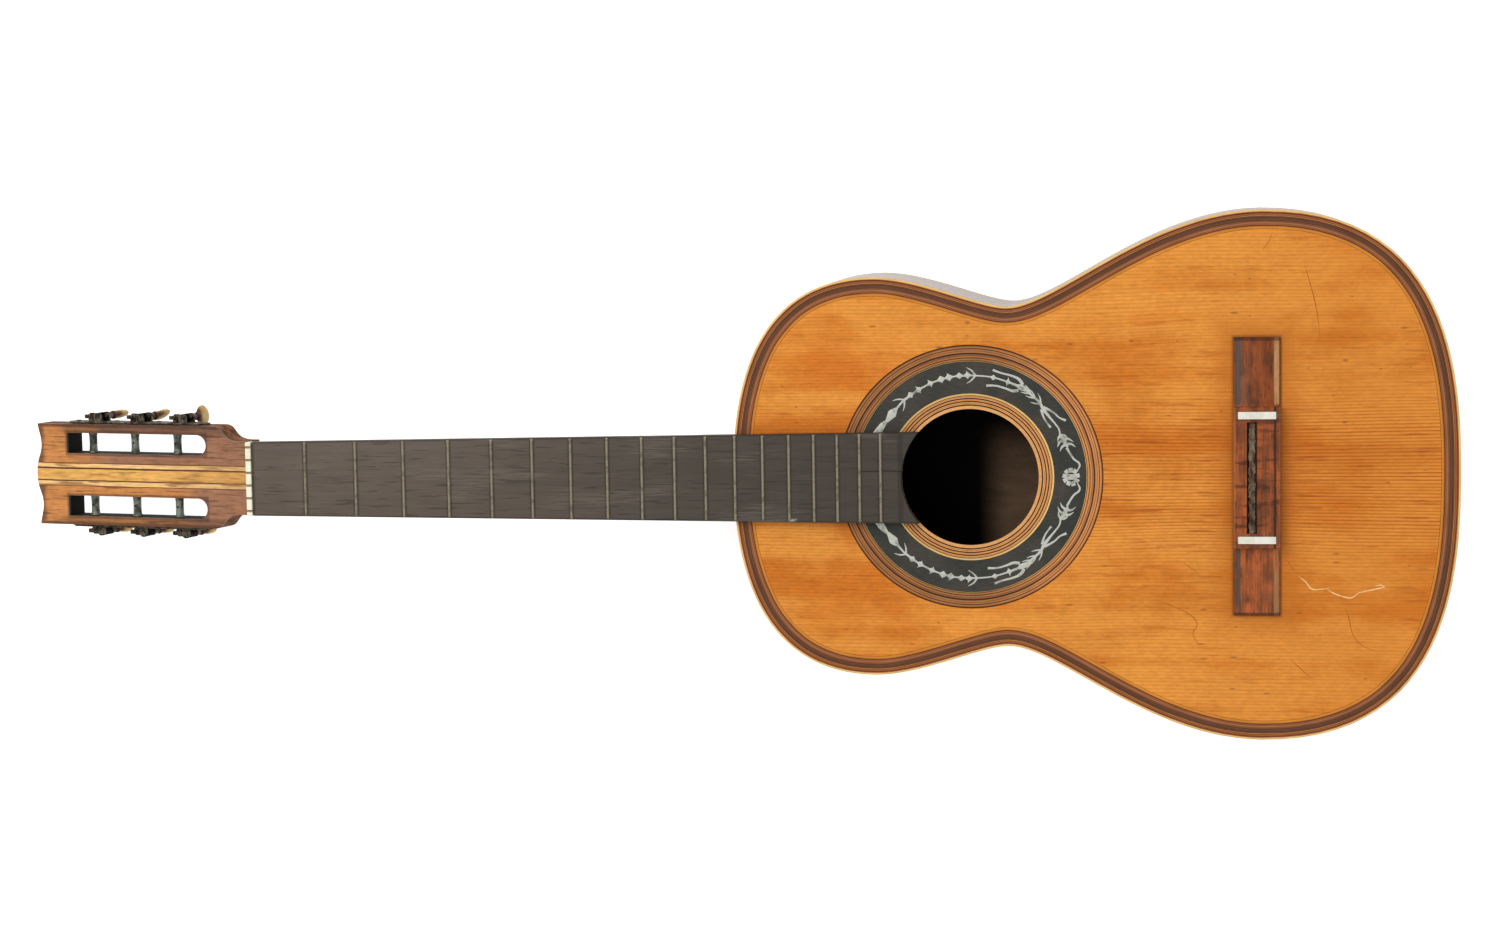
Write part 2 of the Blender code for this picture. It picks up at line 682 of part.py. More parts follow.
def neck_stations():
    """Where the neck's sections stand: few along the shaft and close together round the heel."""
    heel_steps = 8
    foot_steps = 4
    past_scarf = SCARF_LENGTH + CUT_MARGIN
    shaft = [HEAD_PIVOT_X - GAP, past_scarf, (past_scarf + HEEL_START) / 2, HEEL_START]
    rise = HEEL_FULL - HEEL_START
    heel = [HEEL_START + rise * math.sqrt((i + 1) / heel_steps) for i in range(heel_steps)]
    foot = [HEEL_FULL + HEEL_FOOT_LENGTH * ((i + 1) / foot_steps) ** 2 for i in range(foot_steps)]
    return shaft + heel + foot + [NECK_END + CUT_MARGIN]


def scarf_wedge(name, drop):
    """The space below the slanted joint under the nut, lowered by drop."""
    start = HEAD_PIVOT_X - 10 * CUT_MARGIN
    slope = NECK_DEPTH_AT_NUT / SCARF_LENGTH
    low = BODY_DEPTH - 3 * NECK_DEPTH_AT_NUT
    end = SCARF_LENGTH * 3
    profile = [
        (start, BODY_DEPTH - start * slope - drop),
        (start, low),
        (end, low - NECK_DEPTH_AT_NUT),
        (end, BODY_DEPTH - end * slope - drop),
    ]
    mesh = flat_mesh(name, [[(x - ORIGIN_X, z) for x, z in profile]], -NUT_LENGTH, NUT_LENGTH)
    mesh.transform(Matrix.Rotation(math.pi / 2, 4, "X"))
    return add_object(name, mesh)


def make_neck():
    """The neck with its heel, cut to the body's shoulder and slanted for the head joint."""
    mesh = loft_mesh("neck", [neck_section(x) for x in neck_stations()])
    neck = add_object("neck", mesh, "mahogany")
    body_space = flat_mesh("body_space", [outline(-GAP)], -CUT_MARGIN, BODY_DEPTH + CUT_MARGIN)
    combine(neck, add_object("body_space", body_space))
    combine(neck, scarf_wedge("scarf_space", 0.0))


def make_heel_cap():
    """The thin plate on the heel's foot."""
    steps = 8
    turns = [math.pi / 2 * (2 * i / steps - 1) for i in range(steps + 1)]
    nose = HEEL_FULL + HEEL_FOOT_LENGTH
    front = [
        (nose - HEEL_FOOT_LENGTH * math.cos(turn), HEEL_FOOT_HALF_WIDTH * math.sin(turn))
        for turn in reversed(turns)
    ]
    back = NECK_END - GAP
    loop = [*front, (back, -HEEL_FOOT_HALF_WIDTH), (back, HEEL_FOOT_HALF_WIDTH)]
    loop = [(x - ORIGIN_X, y) for x, y in loop]
    add_object("heel_cap", flat_mesh("heel_cap", [loop], 0.0, HEEL_CAP_THICKNESS), "ebony")


def head_side():
    """The treble edge of the head from the nut to the crown's corner, in the head's own frame."""
    nut_half = board_half_width(0.0)
    corner = Vector((-OGEE_END, HEAD_HALF_WIDTH, 0.0))
    start = Vector((-OGEE_START, nut_half, 0.0))
    middle = (start + corner) / 2 + Vector((-OGEE_SHIFT, OGEE_RISE, 0.0))
    pull = Vector((-OGEE_MIDDLE_PULL[0], OGEE_MIDDLE_PULL[1], 0.0))
    start_pull = Vector((-OGEE_START_PULL, 0.0, 0.0))
    end_pull = Vector((OGEE_END_PULL, 0.0, 0.0))
    hollow = interpolate_bezier(start, start + start_pull, middle - pull, middle, 6)
    bulge = interpolate_bezier(middle, middle + pull, corner + end_pull, corner, 5)
    return [(0.0, nut_half)] + [(p.x, p.y) for p in hollow] + [(p.x, p.y) for p in bulge[1:]]


def head_crown():
    """Half of the crown from the treble corner to the centre: a scoop, then the raised middle."""
    steps = 9
    points = []
    for i in range(steps + 1):
        share = i / steps
        y = HEAD_HALF_WIDTH * (1.0 - share)
        wave = CROWN_SCOOP * math.sin(math.pi * min(share / CROWN_WAVE_END, 1.0)) ** 1.5
        rise = CROWN_RISE * 0.5 * (1.0 - math.cos(math.pi * max(share - 0.5, 0.0) / 0.5))
        points.append((-(HEAD_LENGTH - wave + rise), y))
    return points


def head_outline(start=0.0):
    """The head's whole outline in its own frame, from this distance past the nut."""
    half = [(min(x, -start), y) for x, y in head_side() + head_crown()]
    return half + [(x, -y) for x, y in reversed(half[:-1])]


def slot_outline(sign, margin=0.0):
    """One string slot, square at the crown end and round at the nut end."""
    steps = 6
    middle = SLOT_INNER + SLOT_WIDTH / 2
    half = SLOT_WIDTH / 2 + margin
    turns = [math.pi * (i / steps - 0.5) for i in range(steps + 1)]
    centre = SLOT_START + SLOT_WIDTH / 2
    nut_end = [(-centre + half * math.cos(turn), middle + half * math.sin(turn)) for turn in turns]
    loop = [*nut_end, (-SLOT_END - margin, middle + half), (-SLOT_END - margin, middle - half)]
    return [(x, sign * y) for x, y in loop]


def tuner_places():
    """The rollers' distances from the nut along the head."""
    return [TUNER_FIRST + TUNER_SPACING * i for i in range(TUNERS_PER_SIDE)]


def make_head(frame):
    """The slotted head with the lower half of the neck joint, its veneer and the centre strip."""
    slab = flat_mesh("headstock", [head_outline(2 * GAP)], -HEAD_THICKNESS, SLAB_TOP)
    head = add_object("headstock", slab, "mahogany", frame)
    tongue_mesh = loft_mesh("joint_tongue", [neck_section(x) for x in neck_stations()[:3]])
    tongue = add_object("joint_tongue", tongue_mesh)
    combine(tongue, scarf_wedge("scarf_tongue", GAP), "INTERSECT")
    combine(head, tongue, "UNION")
    deep = HEAD_THICKNESS + CUT_MARGIN
    slots = []
    for side, sign in SIDES.items():
        name = f"slot_{side}"
        slots.append(add_object(name, flat_mesh(name, [slot_outline(sign)], -deep, CUT_MARGIN), parent=frame))
    slot_group = cutter_group("string_slots", slots)
    combine(head, slot_group)
    steps = 10
    bores = []
    for side, sign in SIDES.items():
        for i, along in enumerate(tuner_places()):
            name = f"roller_bore_{side}_{i + 1}"
            inner = SLOT_INNER - ROLLER_SEAT - GAP
            outer = HEAD_HALF_WIDTH + CUT_MARGIN
            radius = round_hole_radius(ROLLER_RADIUS, steps)
            mesh = rod_mesh(name, radius, sign * inner, sign * outer, "Y", steps, (-along, -ROLLER_DEPTH))
            bores.append(add_object(name, mesh, parent=frame))
    combine(head, cutter_group("roller_bores", bores))
    veneer = add_object(
        "head_veneer", flat_mesh("head_veneer", [head_outline()], -VENEER_THICKNESS, 0.0), "rosewood", frame
    )
    combine(veneer, slot_group)
    past_head = 3 * HEAD_LENGTH
    groove_size = (past_head, STRIP_WIDTH + 2 * INLAY_GAP, 2 * (STRIP_THICKNESS + INLAY_GAP))
    combine(veneer, add_object("strip_groove", box_mesh("strip_groove", groove_size), parent=frame))
    strip = add_object(
        "head_centre_strip",
        flat_mesh("head_centre_strip", [head_outline()], -STRIP_THICKNESS, 0.0),
        "maple",
        frame,
    )
    strip_size = (past_head, STRIP_WIDTH, 4 * STRIP_THICKNESS)
    strip_space = add_object("strip_space", box_mesh("strip_space", strip_size), parent=frame)
    combine(strip, strip_space, "INTERSECT")


def make_tuner_plate(frame, side, sign):
    """The metal plate on the head's edge, with two lugs for each worm shaft."""
    places = tuner_places()
    near, far = places[0] - PLATE_OVERHANG - WORM_OFFSET, places[-1] + PLATE_OVERHANG
    half = PLATE_HEIGHT / 2
    loop = [
        (-near, -ROLLER_DEPTH),
        (-near - PLATE_POINT, half - ROLLER_DEPTH),
        (-far + PLATE_POINT, half - ROLLER_DEPTH),
        (-far, -ROLLER_DEPTH),
        (-far + PLATE_POINT, -half - ROLLER_DEPTH),
        (-near - PLATE_POINT, -half - ROLLER_DEPTH),
    ]
    name = f"tuner_plate_{side}"
    mesh = flat_mesh(name, [loop], -PLATE_THICKNESS / 2, PLATE_THICKNESS / 2)
    mesh.transform(Matrix.Rotation(math.pi / 2, 4, "X"))
    middle = sign * (PLATE_INNER + PLATE_OUTER) / 2
    plate = add_object(name, mesh, "brass", frame, (0.0, middle, 0.0))
    lugs = []
    bores = []
    steps = 8
    sunk = PLATE_THICKNESS / 2
    for i, along in enumerate(places):
        worm_x = -along + WORM_OFFSET
        reach = WORM_Y + LUG_WIDTH / 2 - PLATE_OUTER + sunk
        lug_size = (LUG_WIDTH, reach, LUG_THICKNESS)
        lug_y = sign * (PLATE_OUTER - sunk + reach / 2)
        for end, offset in (("front", LUG_OFFSET), ("rear", -LUG_OFFSET)):
            lug_name = f"lug_{side}_{i + 1}_{end}"
            centre = (worm_x, lug_y, offset - ROLLER_DEPTH)
            lugs.append(
                add_object(lug_name, box_mesh(lug_name, lug_size, centre), parent=frame)
            )
        shaft_name = f"lug_bore_{side}_{i + 1}"
        radius = round_hole_radius(SHAFT_RADIUS, steps)
        reach_z = (CUT_MARGIN, -HEAD_THICKNESS - CUT_MARGIN)
        mesh = rod_mesh(shaft_name, radius, *reach_z, "Z", steps, (worm_x, sign * WORM_Y))
        bores.append(add_object(shaft_name, mesh, parent=frame))
        spindle_name = f"spindle_bore_{side}_{i + 1}"
        radius = round_hole_radius(SPINDLE_RADIUS, steps)
        spindle_span = (sign * HEAD_HALF_WIDTH, sign * (PLATE_OUTER + GAP))
        mesh = rod_mesh(spindle_name, radius, *spindle_span, "Y", steps, (-along, -ROLLER_DEPTH))
        bores.append(add_object(spindle_name, mesh, parent=frame))
    combine(plate, cutter_group(f"lugs_{side}", lugs), "UNION")
    combine(plate, cutter_group(f"plate_bores_{side}", bores))


def thread_profile(first):
    """The thread's half section over all its turns, from the axis out and back, starting at height first."""
    profile = [(0.0, first)]
    for turn in range(THREAD_TURNS):
        low = first + THREAD_PITCH * turn
        middle = low + THREAD_PITCH / 2
        profile += [
            (THREAD_ROOT_RADIUS, low),
            (THREAD_ROOT_RADIUS, middle - THREAD_ROOT_WIDTH / 2),
            (THREAD_CREST_RADIUS, middle - THREAD_CREST_WIDTH / 2),
            (THREAD_CREST_RADIUS, middle + THREAD_CREST_WIDTH / 2),
            (THREAD_ROOT_RADIUS, middle + THREAD_ROOT_WIDTH / 2),
        ]
    last = first + THREAD_PITCH * THREAD_TURNS
    return [*profile, (THREAD_ROOT_RADIUS, last), (0.0, last)]


def thread_mesh(name):
    """A right-handed thread: the profile spun once round while it climbs by one pitch, then closed."""
    steps = 10
    bm = bmesh.new()
    first = -THREAD_PITCH * (THREAD_TURNS + 1) / 2
    verts = [bm.verts.new((radius, 0.0, z)) for radius, z in thread_profile(first)]
    edges = [bm.edges.new(pair) for pair in zip(verts, verts[1:])]
    climb = (0.0, 0.0, THREAD_PITCH / steps)
    bmesh.ops.spin(
        bm, geom=verts + edges, cent=(0, 0, 0), axis=(0, 0, 1), dvec=climb, angle=math.tau, steps=steps
    )
    bmesh.ops.remove_doubles(bm, verts=bm.verts, dist=1e-6)
    bmesh.ops.holes_fill(bm, edges=[edge for edge in bm.edges if edge.is_boundary], sides=0)
    return mesh_from(bm, name)


def make_worm(axle, name):
    """The worm shaft: journal, thread, ferrule and the tail that the button sits on."""
    front = LUG_OFFSET + LUG_THICKNESS / 2 + GAP
    tail = ROLLER_DEPTH - (BUTTON_DEPTH - BUTTON_RADIUS + BUTTON_SEAT)
    shaft = add_object(name, rod_mesh(name, SHAFT_RADIUS, tail, front, steps=10), "aged_steel", axle)
    ferrule_span = (-front - FERRULE_LENGTH, -front)
    ferrule = rod_mesh(f"{name}_ferrule", FERRULE_RADIUS, *ferrule_span, steps=10)
    pieces = [add_object(mesh.name, mesh, parent=axle) for mesh in (ferrule, thread_mesh(f"{name}_thread"))]
    combine(shaft, cutter_group(f"{name}_pieces", pieces), "UNION")


def make_button(axle, name, turn):
    """A flat oval button with a neck, bored for the end of the worm shaft."""
    bm = bmesh.new()
    bmesh.ops.create_uvsphere(bm, u_segments=12, v_segments=7, radius=BUTTON_RADIUS)
    flat = BUTTON_HALF_THICKNESS / BUTTON_RADIUS
    bmesh.ops.scale(bm, verts=bm.verts, vec=(flat, 1.0, 1.0))
    centre = ROLLER_DEPTH - BUTTON_DEPTH
    button = add_object(name, mesh_from(bm, name), "bone", axle, (0.0, 0.0, centre), (0.0, 0.0, turn))
    top = BUTTON_RADIUS + GAP
    steps = 10
    neck_mesh = rod_mesh(f"{name}_neck", BUTTON_NECK_RADIUS, top - BUTTON_NECK_LENGTH, top, steps=steps)
    neck = add_object(neck_mesh.name, neck_mesh, parent=button)
    combine(button, neck, "UNION")
    radius = round_hole_radius(SHAFT_RADIUS, steps)
    floor = BUTTON_RADIUS - BUTTON_SEAT - GAP
    bore_mesh = rod_mesh(f"{name}_bore", radius, floor, top + CUT_MARGIN, steps=steps)
    combine(button, add_object(bore_mesh.name, bore_mesh, parent=button))


def gear_ring(y, slant):
    """The gear's toothed outline at a distance y from its middle plane, turned for the slant."""
    root = GEAR_PITCH_RADIUS - GEAR_ROOT_DROP
    tip = GEAR_PITCH_RADIUS + GEAR_TIP_RISE
    ring = []
    for tooth in range(GEAR_TEETH):
        middle = math.tau * tooth / GEAR_TEETH + slant * y
        corners = (
            (root, -GEAR_ROOT_TOOTH / root / 2),
            (tip, -GEAR_TIP_TOOTH / tip / 2),
            (tip, GEAR_TIP_TOOTH / tip / 2),
            (root, GEAR_ROOT_TOOTH / root / 2),
        )
        for radius, offset in corners:
            angle = middle + offset
            ring.append((radius * math.cos(angle), y, -radius * math.sin(angle)))
    return ring


def make_gear(axle, name, sign):
    """The worm wheel: slanted teeth, an inner hub bored for the spindle, and the screw that holds it."""
    slant = THREAD_PITCH / (math.tau * THREAD_PITCH_RADIUS) / GEAR_PITCH_RADIUS
    half = GEAR_WIDTH / 2
    mesh = loft_mesh(name, [gear_ring(-half, slant), gear_ring(half, slant)])
    gear = add_object(name, mesh, "aged_steel", axle, (0.0, sign * WORM_Y, 0.0))
    hub_start = PLATE_OUTER + GAP - WORM_Y
    sunk = GEAR_WIDTH / 4
    hub = rod_mesh(f"{name}_hub", HUB_RADIUS, sign * hub_start, sign * (sunk - half), "Y", 8)
    screw_end = half + SCREW_HEIGHT
    screw = rod_mesh(f"{name}_screw", SCREW_RADIUS, sign * (half - sunk), sign * screw_end, "Y", 8)
    pieces = [add_object(mesh.name, mesh, parent=gear) for mesh in (hub, screw)]
    combine(gear, cutter_group(f"{name}_pieces", pieces), "UNION")
    steps = 8
    radius = round_hole_radius(SPINDLE_RADIUS, steps)
    bore = rod_mesh(f"{name}_bore", radius, sign * (hub_start - CUT_MARGIN), sign * GAP, "Y", steps)
    combine(gear, add_object(bore.name, bore, parent=gear))


def make_roller(axle, name, sign):
    """The string roller across the slot, with its spindle through the plate and its string hole."""
    inner = SLOT_INNER - ROLLER_SEAT
    outer = HEAD_HALF_WIDTH
    roller = add_object(
        name, rod_mesh(name, ROLLER_RADIUS, sign * inner, sign * outer, "Y", 12), "aged_steel", axle
    )
    spindle_mesh = rod_mesh(
        f"{name}_spindle", SPINDLE_RADIUS, sign * (outer - CUT_MARGIN), sign * WORM_Y, "Y", 10
    )
    combine(roller, add_object(f"{name}_spindle", spindle_mesh, parent=axle), "UNION")
    reach = ROLLER_RADIUS + CUT_MARGIN
    middle = sign * (SLOT_INNER + SLOT_WIDTH / 2)
    hole = rod_mesh(f"{name}_hole", STRING_HOLE_RADIUS, -reach, reach, "Z", 8, (0.0, middle))
    combine(roller, add_object(f"{name}_hole", hole, parent=axle))


def make_tuners(frame):
    """Both plates and, for each string, its worm shaft, button, gear and roller."""
    for side, sign in SIDES.items():
        make_tuner_plate(frame, side, sign)
        for i, along in enumerate(tuner_places()):
            label = f"{side}_{i + 1}"
            place = (-along, 0.0, -ROLLER_DEPTH)
            roller_axle = empty(f"roller_axle_{label}", place, parent=frame)
            make_roller(roller_axle, f"roller_{label}", sign)
            make_gear(roller_axle, f"gear_{label}", sign)
            place = (-along + WORM_OFFSET, sign * WORM_Y, -ROLLER_DEPTH)
            worm_axle = empty(f"worm_axle_{label}", place, parent=frame)
            make_worm(worm_axle, f"worm_shaft_{label}")
            make_button(worm_axle, f"button_{label}", math.radians(BUTTON_TURNS[side][i]))


def make_bridge():
    """The bridge: low bevelled wings, a raised tie block, its saddle channel and its tie holes."""
    half = BRIDGE_WIDTH / 2
    base = BODY_DEPTH + GAP
    x = BRIDGE_X - ORIGIN_X
    wings = [
        (-half, 0.0),
        (half, 0.0),
        (half, WING_EDGE),
        (half - WING_BEVEL, WING_HEIGHT),
        (WING_BEVEL - half, WING_HEIGHT),
        (-half, WING_EDGE),
    ]
    block = [
        (-half, 0.0),
        (half, 0.0),
        (half, TIE_BLOCK_HEIGHT - TIE_BLOCK_BEVEL),
        (half - TIE_BLOCK_BEVEL, TIE_BLOCK_HEIGHT),
        (TIE_BLOCK_BEVEL - half, TIE_BLOCK_HEIGHT),
        (-half, TIE_BLOCK_HEIGHT - TIE_BLOCK_BEVEL),
    ]
    stand = Matrix.Rotation(math.pi / 2, 4, "X")
    mesh = flat_mesh("bridge", [wings], -BRIDGE_LENGTH / 2, BRIDGE_LENGTH / 2)
    mesh.transform(stand)
    bridge = add_object("bridge", mesh, "rosewood", location=(x, 0.0, base))
    tie = flat_mesh("tie_block", [block], -TIE_BLOCK_LENGTH / 2, TIE_BLOCK_LENGTH / 2)
    tie.transform(stand)
    combine(bridge, add_object("tie_block", tie, location=(x, 0.0, base)), "UNION")
    top = base + TIE_BLOCK_HEIGHT
    channel_x = CHANNEL_X - ORIGIN_X
    saddle_x = channel_x - (CHANNEL_WIDTH - SADDLE_SLOT_WIDTH) / 2
    strip_x, strip_y, strip_z = BONE_STRIP_SIZE
    cuts = {
        "saddle_channel": ((CHANNEL_WIDTH, CHANNEL_LENGTH, 2 * CHANNEL_DEPTH), (channel_x, 0.0)),
        "saddle_slot": (
            (SADDLE_SLOT_WIDTH, CHANNEL_LENGTH, 2 * (CHANNEL_DEPTH + SADDLE_SLOT_DEPTH)),
            (saddle_x, 0.0),
        ),
    }
    for side, sign in SIDES.items():
        seat = (strip_x + 2 * INLAY_GAP, strip_y + 2 * INLAY_GAP, 2 * (strip_z + INLAY_GAP))
        cuts[f"bone_seat_{side}"] = (seat, (x, sign * BONE_STRIP_Y))
        size = (strip_x, strip_y, strip_z)
        place = (x, sign * BONE_STRIP_Y, top - strip_z / 2)
        name = f"bridge_bone_{side}"
        add_object(name, box_mesh(name, size), "bone", location=place)
    cutters = [
        add_object(name, box_mesh(name, size), location=(*place, top))
        for name, (size, place) in cuts.items()
    ]
    for i, y in enumerate(string_places(STRING_SPREAD_AT_BRIDGE)):
        name = f"tie_hole_{i + 1}"
        span = (channel_x, x + half + CUT_MARGIN)
        mesh = rod_mesh(name, TIE_HOLE_RADIUS, *span, "X", 8, (y, base + TIE_HOLE_HEIGHT))
        cutters.append(add_object(name, mesh))
    combine(bridge, cutter_group("bridge_cuts", cutters))


def main():
    """Build the whole guitar."""
    make_soundboard()
    make_rosette()
    make_shell()
    make_braces()
    make_blocks()
    make_fingerboard()
    make_nut()
    make_neck()
    make_heel_cap()
    head_frame = empty("head_frame", (HEAD_PIVOT_X - ORIGIN_X, 0.0, HEAD_FACE_Z), (0.0, -HEAD_TILT, 0.0))
    make_head(head_frame)
    make_tuners(head_frame)
    make_bridge()
    weld_parts()


main()
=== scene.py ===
"""Looks of an old nylon-string guitar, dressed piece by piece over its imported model.

Lengths are metres. +X runs from the head to the tail, +Y to the treble side, +Z out of the top.
A station is a distance from the nut along the neck.
"""

import sys

import logging
import math
from collections.abc import Callable, Iterator, Sequence
from contextlib import contextmanager
from dataclasses import dataclass
from enum import Enum

import bmesh
import bpy
import numpy as np
from mathutils import Matrix, Vector


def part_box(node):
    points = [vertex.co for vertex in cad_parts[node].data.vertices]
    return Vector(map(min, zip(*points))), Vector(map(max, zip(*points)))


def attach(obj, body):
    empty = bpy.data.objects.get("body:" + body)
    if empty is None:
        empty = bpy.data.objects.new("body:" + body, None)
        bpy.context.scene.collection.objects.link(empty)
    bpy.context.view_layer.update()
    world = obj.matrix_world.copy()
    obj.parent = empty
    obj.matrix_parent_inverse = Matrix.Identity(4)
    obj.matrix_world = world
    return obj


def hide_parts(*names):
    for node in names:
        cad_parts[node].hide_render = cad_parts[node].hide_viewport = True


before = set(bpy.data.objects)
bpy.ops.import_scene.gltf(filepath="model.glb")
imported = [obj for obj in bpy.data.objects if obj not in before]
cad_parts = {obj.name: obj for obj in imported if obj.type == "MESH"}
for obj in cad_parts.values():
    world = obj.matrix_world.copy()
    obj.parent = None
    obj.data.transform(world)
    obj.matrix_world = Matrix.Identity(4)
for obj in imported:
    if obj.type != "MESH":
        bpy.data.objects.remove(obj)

log = logging.getLogger("guitar")

Colour = tuple[float, float, float]
Point = tuple[float, float, float]
Piece = bpy.types.Object

NUT_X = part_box("fingerboard")[0].x
GAP = 0.0003
BODY = "guitar_body"
ORIGIN: Point = (0.0, 0.0, 0.0)
CLEAR, FIT, WORN_EDGE = 0.004, 0.0002, 0.0004
IN_BODY, OVER_BOARD = 0.07, 0.11
STRINGS = 6


class Side(Enum):
    """The two sides of the centre line, with the sign of their Y."""

    TREBLE = 1
    BASS = -1

    @property
    def label(self) -> str:
        """The side's word in the names of pieces."""
        return self.name.lower()

    def turned(self, axis: str) -> Matrix:
        """What takes a piece of the treble side to this side, by a half turn about an axis."""
        return Matrix.Rotation(0.0 if self is Side.TREBLE else math.pi, 4, axis)


class Kind(Enum):
    """What a selection in edit mode is made of."""

    VERT = "verts"
    EDGE = "edges"
    FACE = "faces"


# ---------------------------------------------------------------- the workbench


def only(piece: Piece) -> None:
    """Make a piece the active object and the only selected one.

    Args:
        piece: The object that the next operators work on.
    """
    bpy.ops.object.select_all(action="DESELECT")
    piece.select_set(True)
    bpy.context.view_layer.objects.active = piece


@contextmanager
def editing(piece: Piece) -> Iterator[None]:
    """Open a piece in edit mode for the length of a with block.

    Args:
        piece: The mesh object to shape.
    """
    only(piece)
    bpy.ops.object.mode_set(mode="EDIT")
    yield
    bpy.ops.object.mode_set(mode="OBJECT")


def middle(part: bmesh.types.BMVert | bmesh.types.BMEdge | bmesh.types.BMFace) -> Vector:
    """The place of a vertex, or the middle of an edge or a face.

    Args:
        part: An element of the mesh in edit mode.

    Returns:
        Its middle, in the piece's own frame.
    """
    if isinstance(part, bmesh.types.BMVert):
        return part.co
    if isinstance(part, bmesh.types.BMEdge):
        return (part.verts[0].co + part.verts[1].co) / 2
    return part.calc_center_median()


def pick(piece: Piece, kind: Kind, test: Callable[..., bool] = lambda part: True) -> int:
    """Select, in edit mode, the elements of a piece that pass a test, and nothing else.

    Args:
        piece: The object that is open in edit mode.
        kind: Whether vertices, edges or faces are picked.
        test: A test of one element.

    Returns:
        How many were selected.
    """
    bpy.ops.mesh.select_mode(type=kind.name)
    bpy.ops.mesh.select_all(action="DESELECT")
    mesh = bmesh.from_edit_mesh(piece.data)
    chosen = [part for part in getattr(mesh, kind.value) if test(part)]
    for part in chosen:
        part.select_set(True)
    mesh.select_flush(True)
    bmesh.update_edit_mesh(piece.data)
    return len(chosen)


def grow(offset: Point) -> None:
    """Extrude what is selected by an offset."""
    bpy.ops.mesh.extrude_region_move(TRANSFORM_OT_translate={"value": offset})


def outwards(piece: Piece) -> None:
    """Merge a piece's doubled points and turn all its faces outwards."""
    with editing(piece):
        bpy.ops.mesh.select_all(action="SELECT")
        bpy.ops.mesh.remove_doubles(threshold=1e-6)
        bpy.ops.mesh.normals_make_consistent(inside=False)


def stretch(scale: Point, about: Point = ORIGIN) -> None:
    """Scale what is selected about a point."""
    bpy.ops.transform.resize(value=scale, center_override=about)


def shift(offset: Point) -> None:
    """Move what is selected."""
    bpy.ops.transform.translate(value=offset)


def put_away(*pieces: Piece) -> None:
    """Remove tools and patterns that have done their work."""
    for piece in pieces:
        bpy.data.objects.remove(piece, do_unlink=True)


def work(piece: Piece, kind: str, **settings: object) -> Piece:
    """Give a piece a modifier and apply it at once.

    Args:
        piece: The piece.
        kind: The modifier's type.
        settings: What the modifier is set to.

    Returns:
        The piece.
    """
    modifier = piece.modifiers.new(kind.lower(), kind)
    for key, value in settings.items():
        setattr(modifier, key, value)
    only(piece)
    bpy.ops.object.modifier_apply(modifier=modifier.name)
    return piece


def placed(name: str, data: bpy.types.ID, at: Point = ORIGIN, turn: Point = ORIGIN) -> Piece:
    """Stand new data in the scene.

    Args:
        name: The object's name.
        data: Its mesh, curve, camera or lamp.
        at: Its place.
        turn: Its turn about X, Y and Z.

    Returns:
        The object, selected and active.
    """
    piece = bpy.data.objects.new(name, data)
    piece.location, piece.rotation_euler = at, turn
    bpy.context.collection.objects.link(piece)
    only(piece)
    return piece


def from_faces(name: str, points: Sequence[Point], faces: Sequence[Sequence[int]]) -> Piece:
    """A piece of worked-out points and faces, to be shaped further.

    Args:
        name: The piece's name.
        points: Its points.
        faces: The numbers of each face's points.

    Returns:
        The piece.
    """
    mesh = bpy.data.meshes.new(name)
    mesh.from_pydata(points, [], faces)
    return placed(name, mesh)


def from_curve(name: str, lines: Sequence[Sequence[dict]], closed: bool, **settings: object) -> Piece:
    """Draw smooth lines and turn them into a mesh.

    Args:
        name: The piece's name.
        lines: Lines of Bezier points, each a table of the point's settings.
        closed: Whether each line runs back to its start.
        settings: What the curve is set to.

    Returns:
        The mesh object.
    """
    curve = bpy.data.curves.new(name, "CURVE")
    for key, value in {"dimensions": "3D", **settings}.items():
        setattr(curve, key, value)
    for line in lines:
        spline = curve.splines.new("BEZIER")
        spline.bezier_points.add(len(line) - 1)
        spline.use_cyclic_u = closed
        for point, values in zip(spline.bezier_points, line):
            for key, value in values.items():
                setattr(point, key, value)
    piece = placed(name, curve)
    bpy.ops.object.convert(target="MESH")
    return piece


def settle(piece: Piece, place: Matrix | None = None) -> Piece:
    """Put a piece in its place and bake that place into its mesh.

    Args:
        piece: The object, as it was made.
        place: Where its own frame goes; None leaves it where it stands.

    Returns:
        The same object, at the origin and unturned.
    """
    if place is not None:
        piece.matrix_world = place @ piece.matrix_world
    only(piece)
    bpy.ops.object.transform_apply(location=True, rotation=True, scale=True)
    return piece


def named(name: str) -> Piece:
    """Give the object that an operator has just added its name.

    Args:
        name: The piece's name.

    Returns:
        The active object, with its place baked in.
    """
    piece = bpy.context.active_object
    piece.name = piece.data.name = name
    return settle(piece)


def add_box(name: str, low: Sequence[float], high: Sequence[float]) -> Piece:
    """A block between two corners, to be shaped further.

    Args:
        name: The piece's name.
        low: Its lowest corner.
        high: Its highest corner.

    Returns:
        The block.
    """
    size = [b - a for a, b in zip(low, high)]
    centre = [(a + b) / 2 for a, b in zip(low, high)]
    bpy.ops.mesh.primitive_cube_add(size=1.0, location=centre, scale=size)
    return named(name)


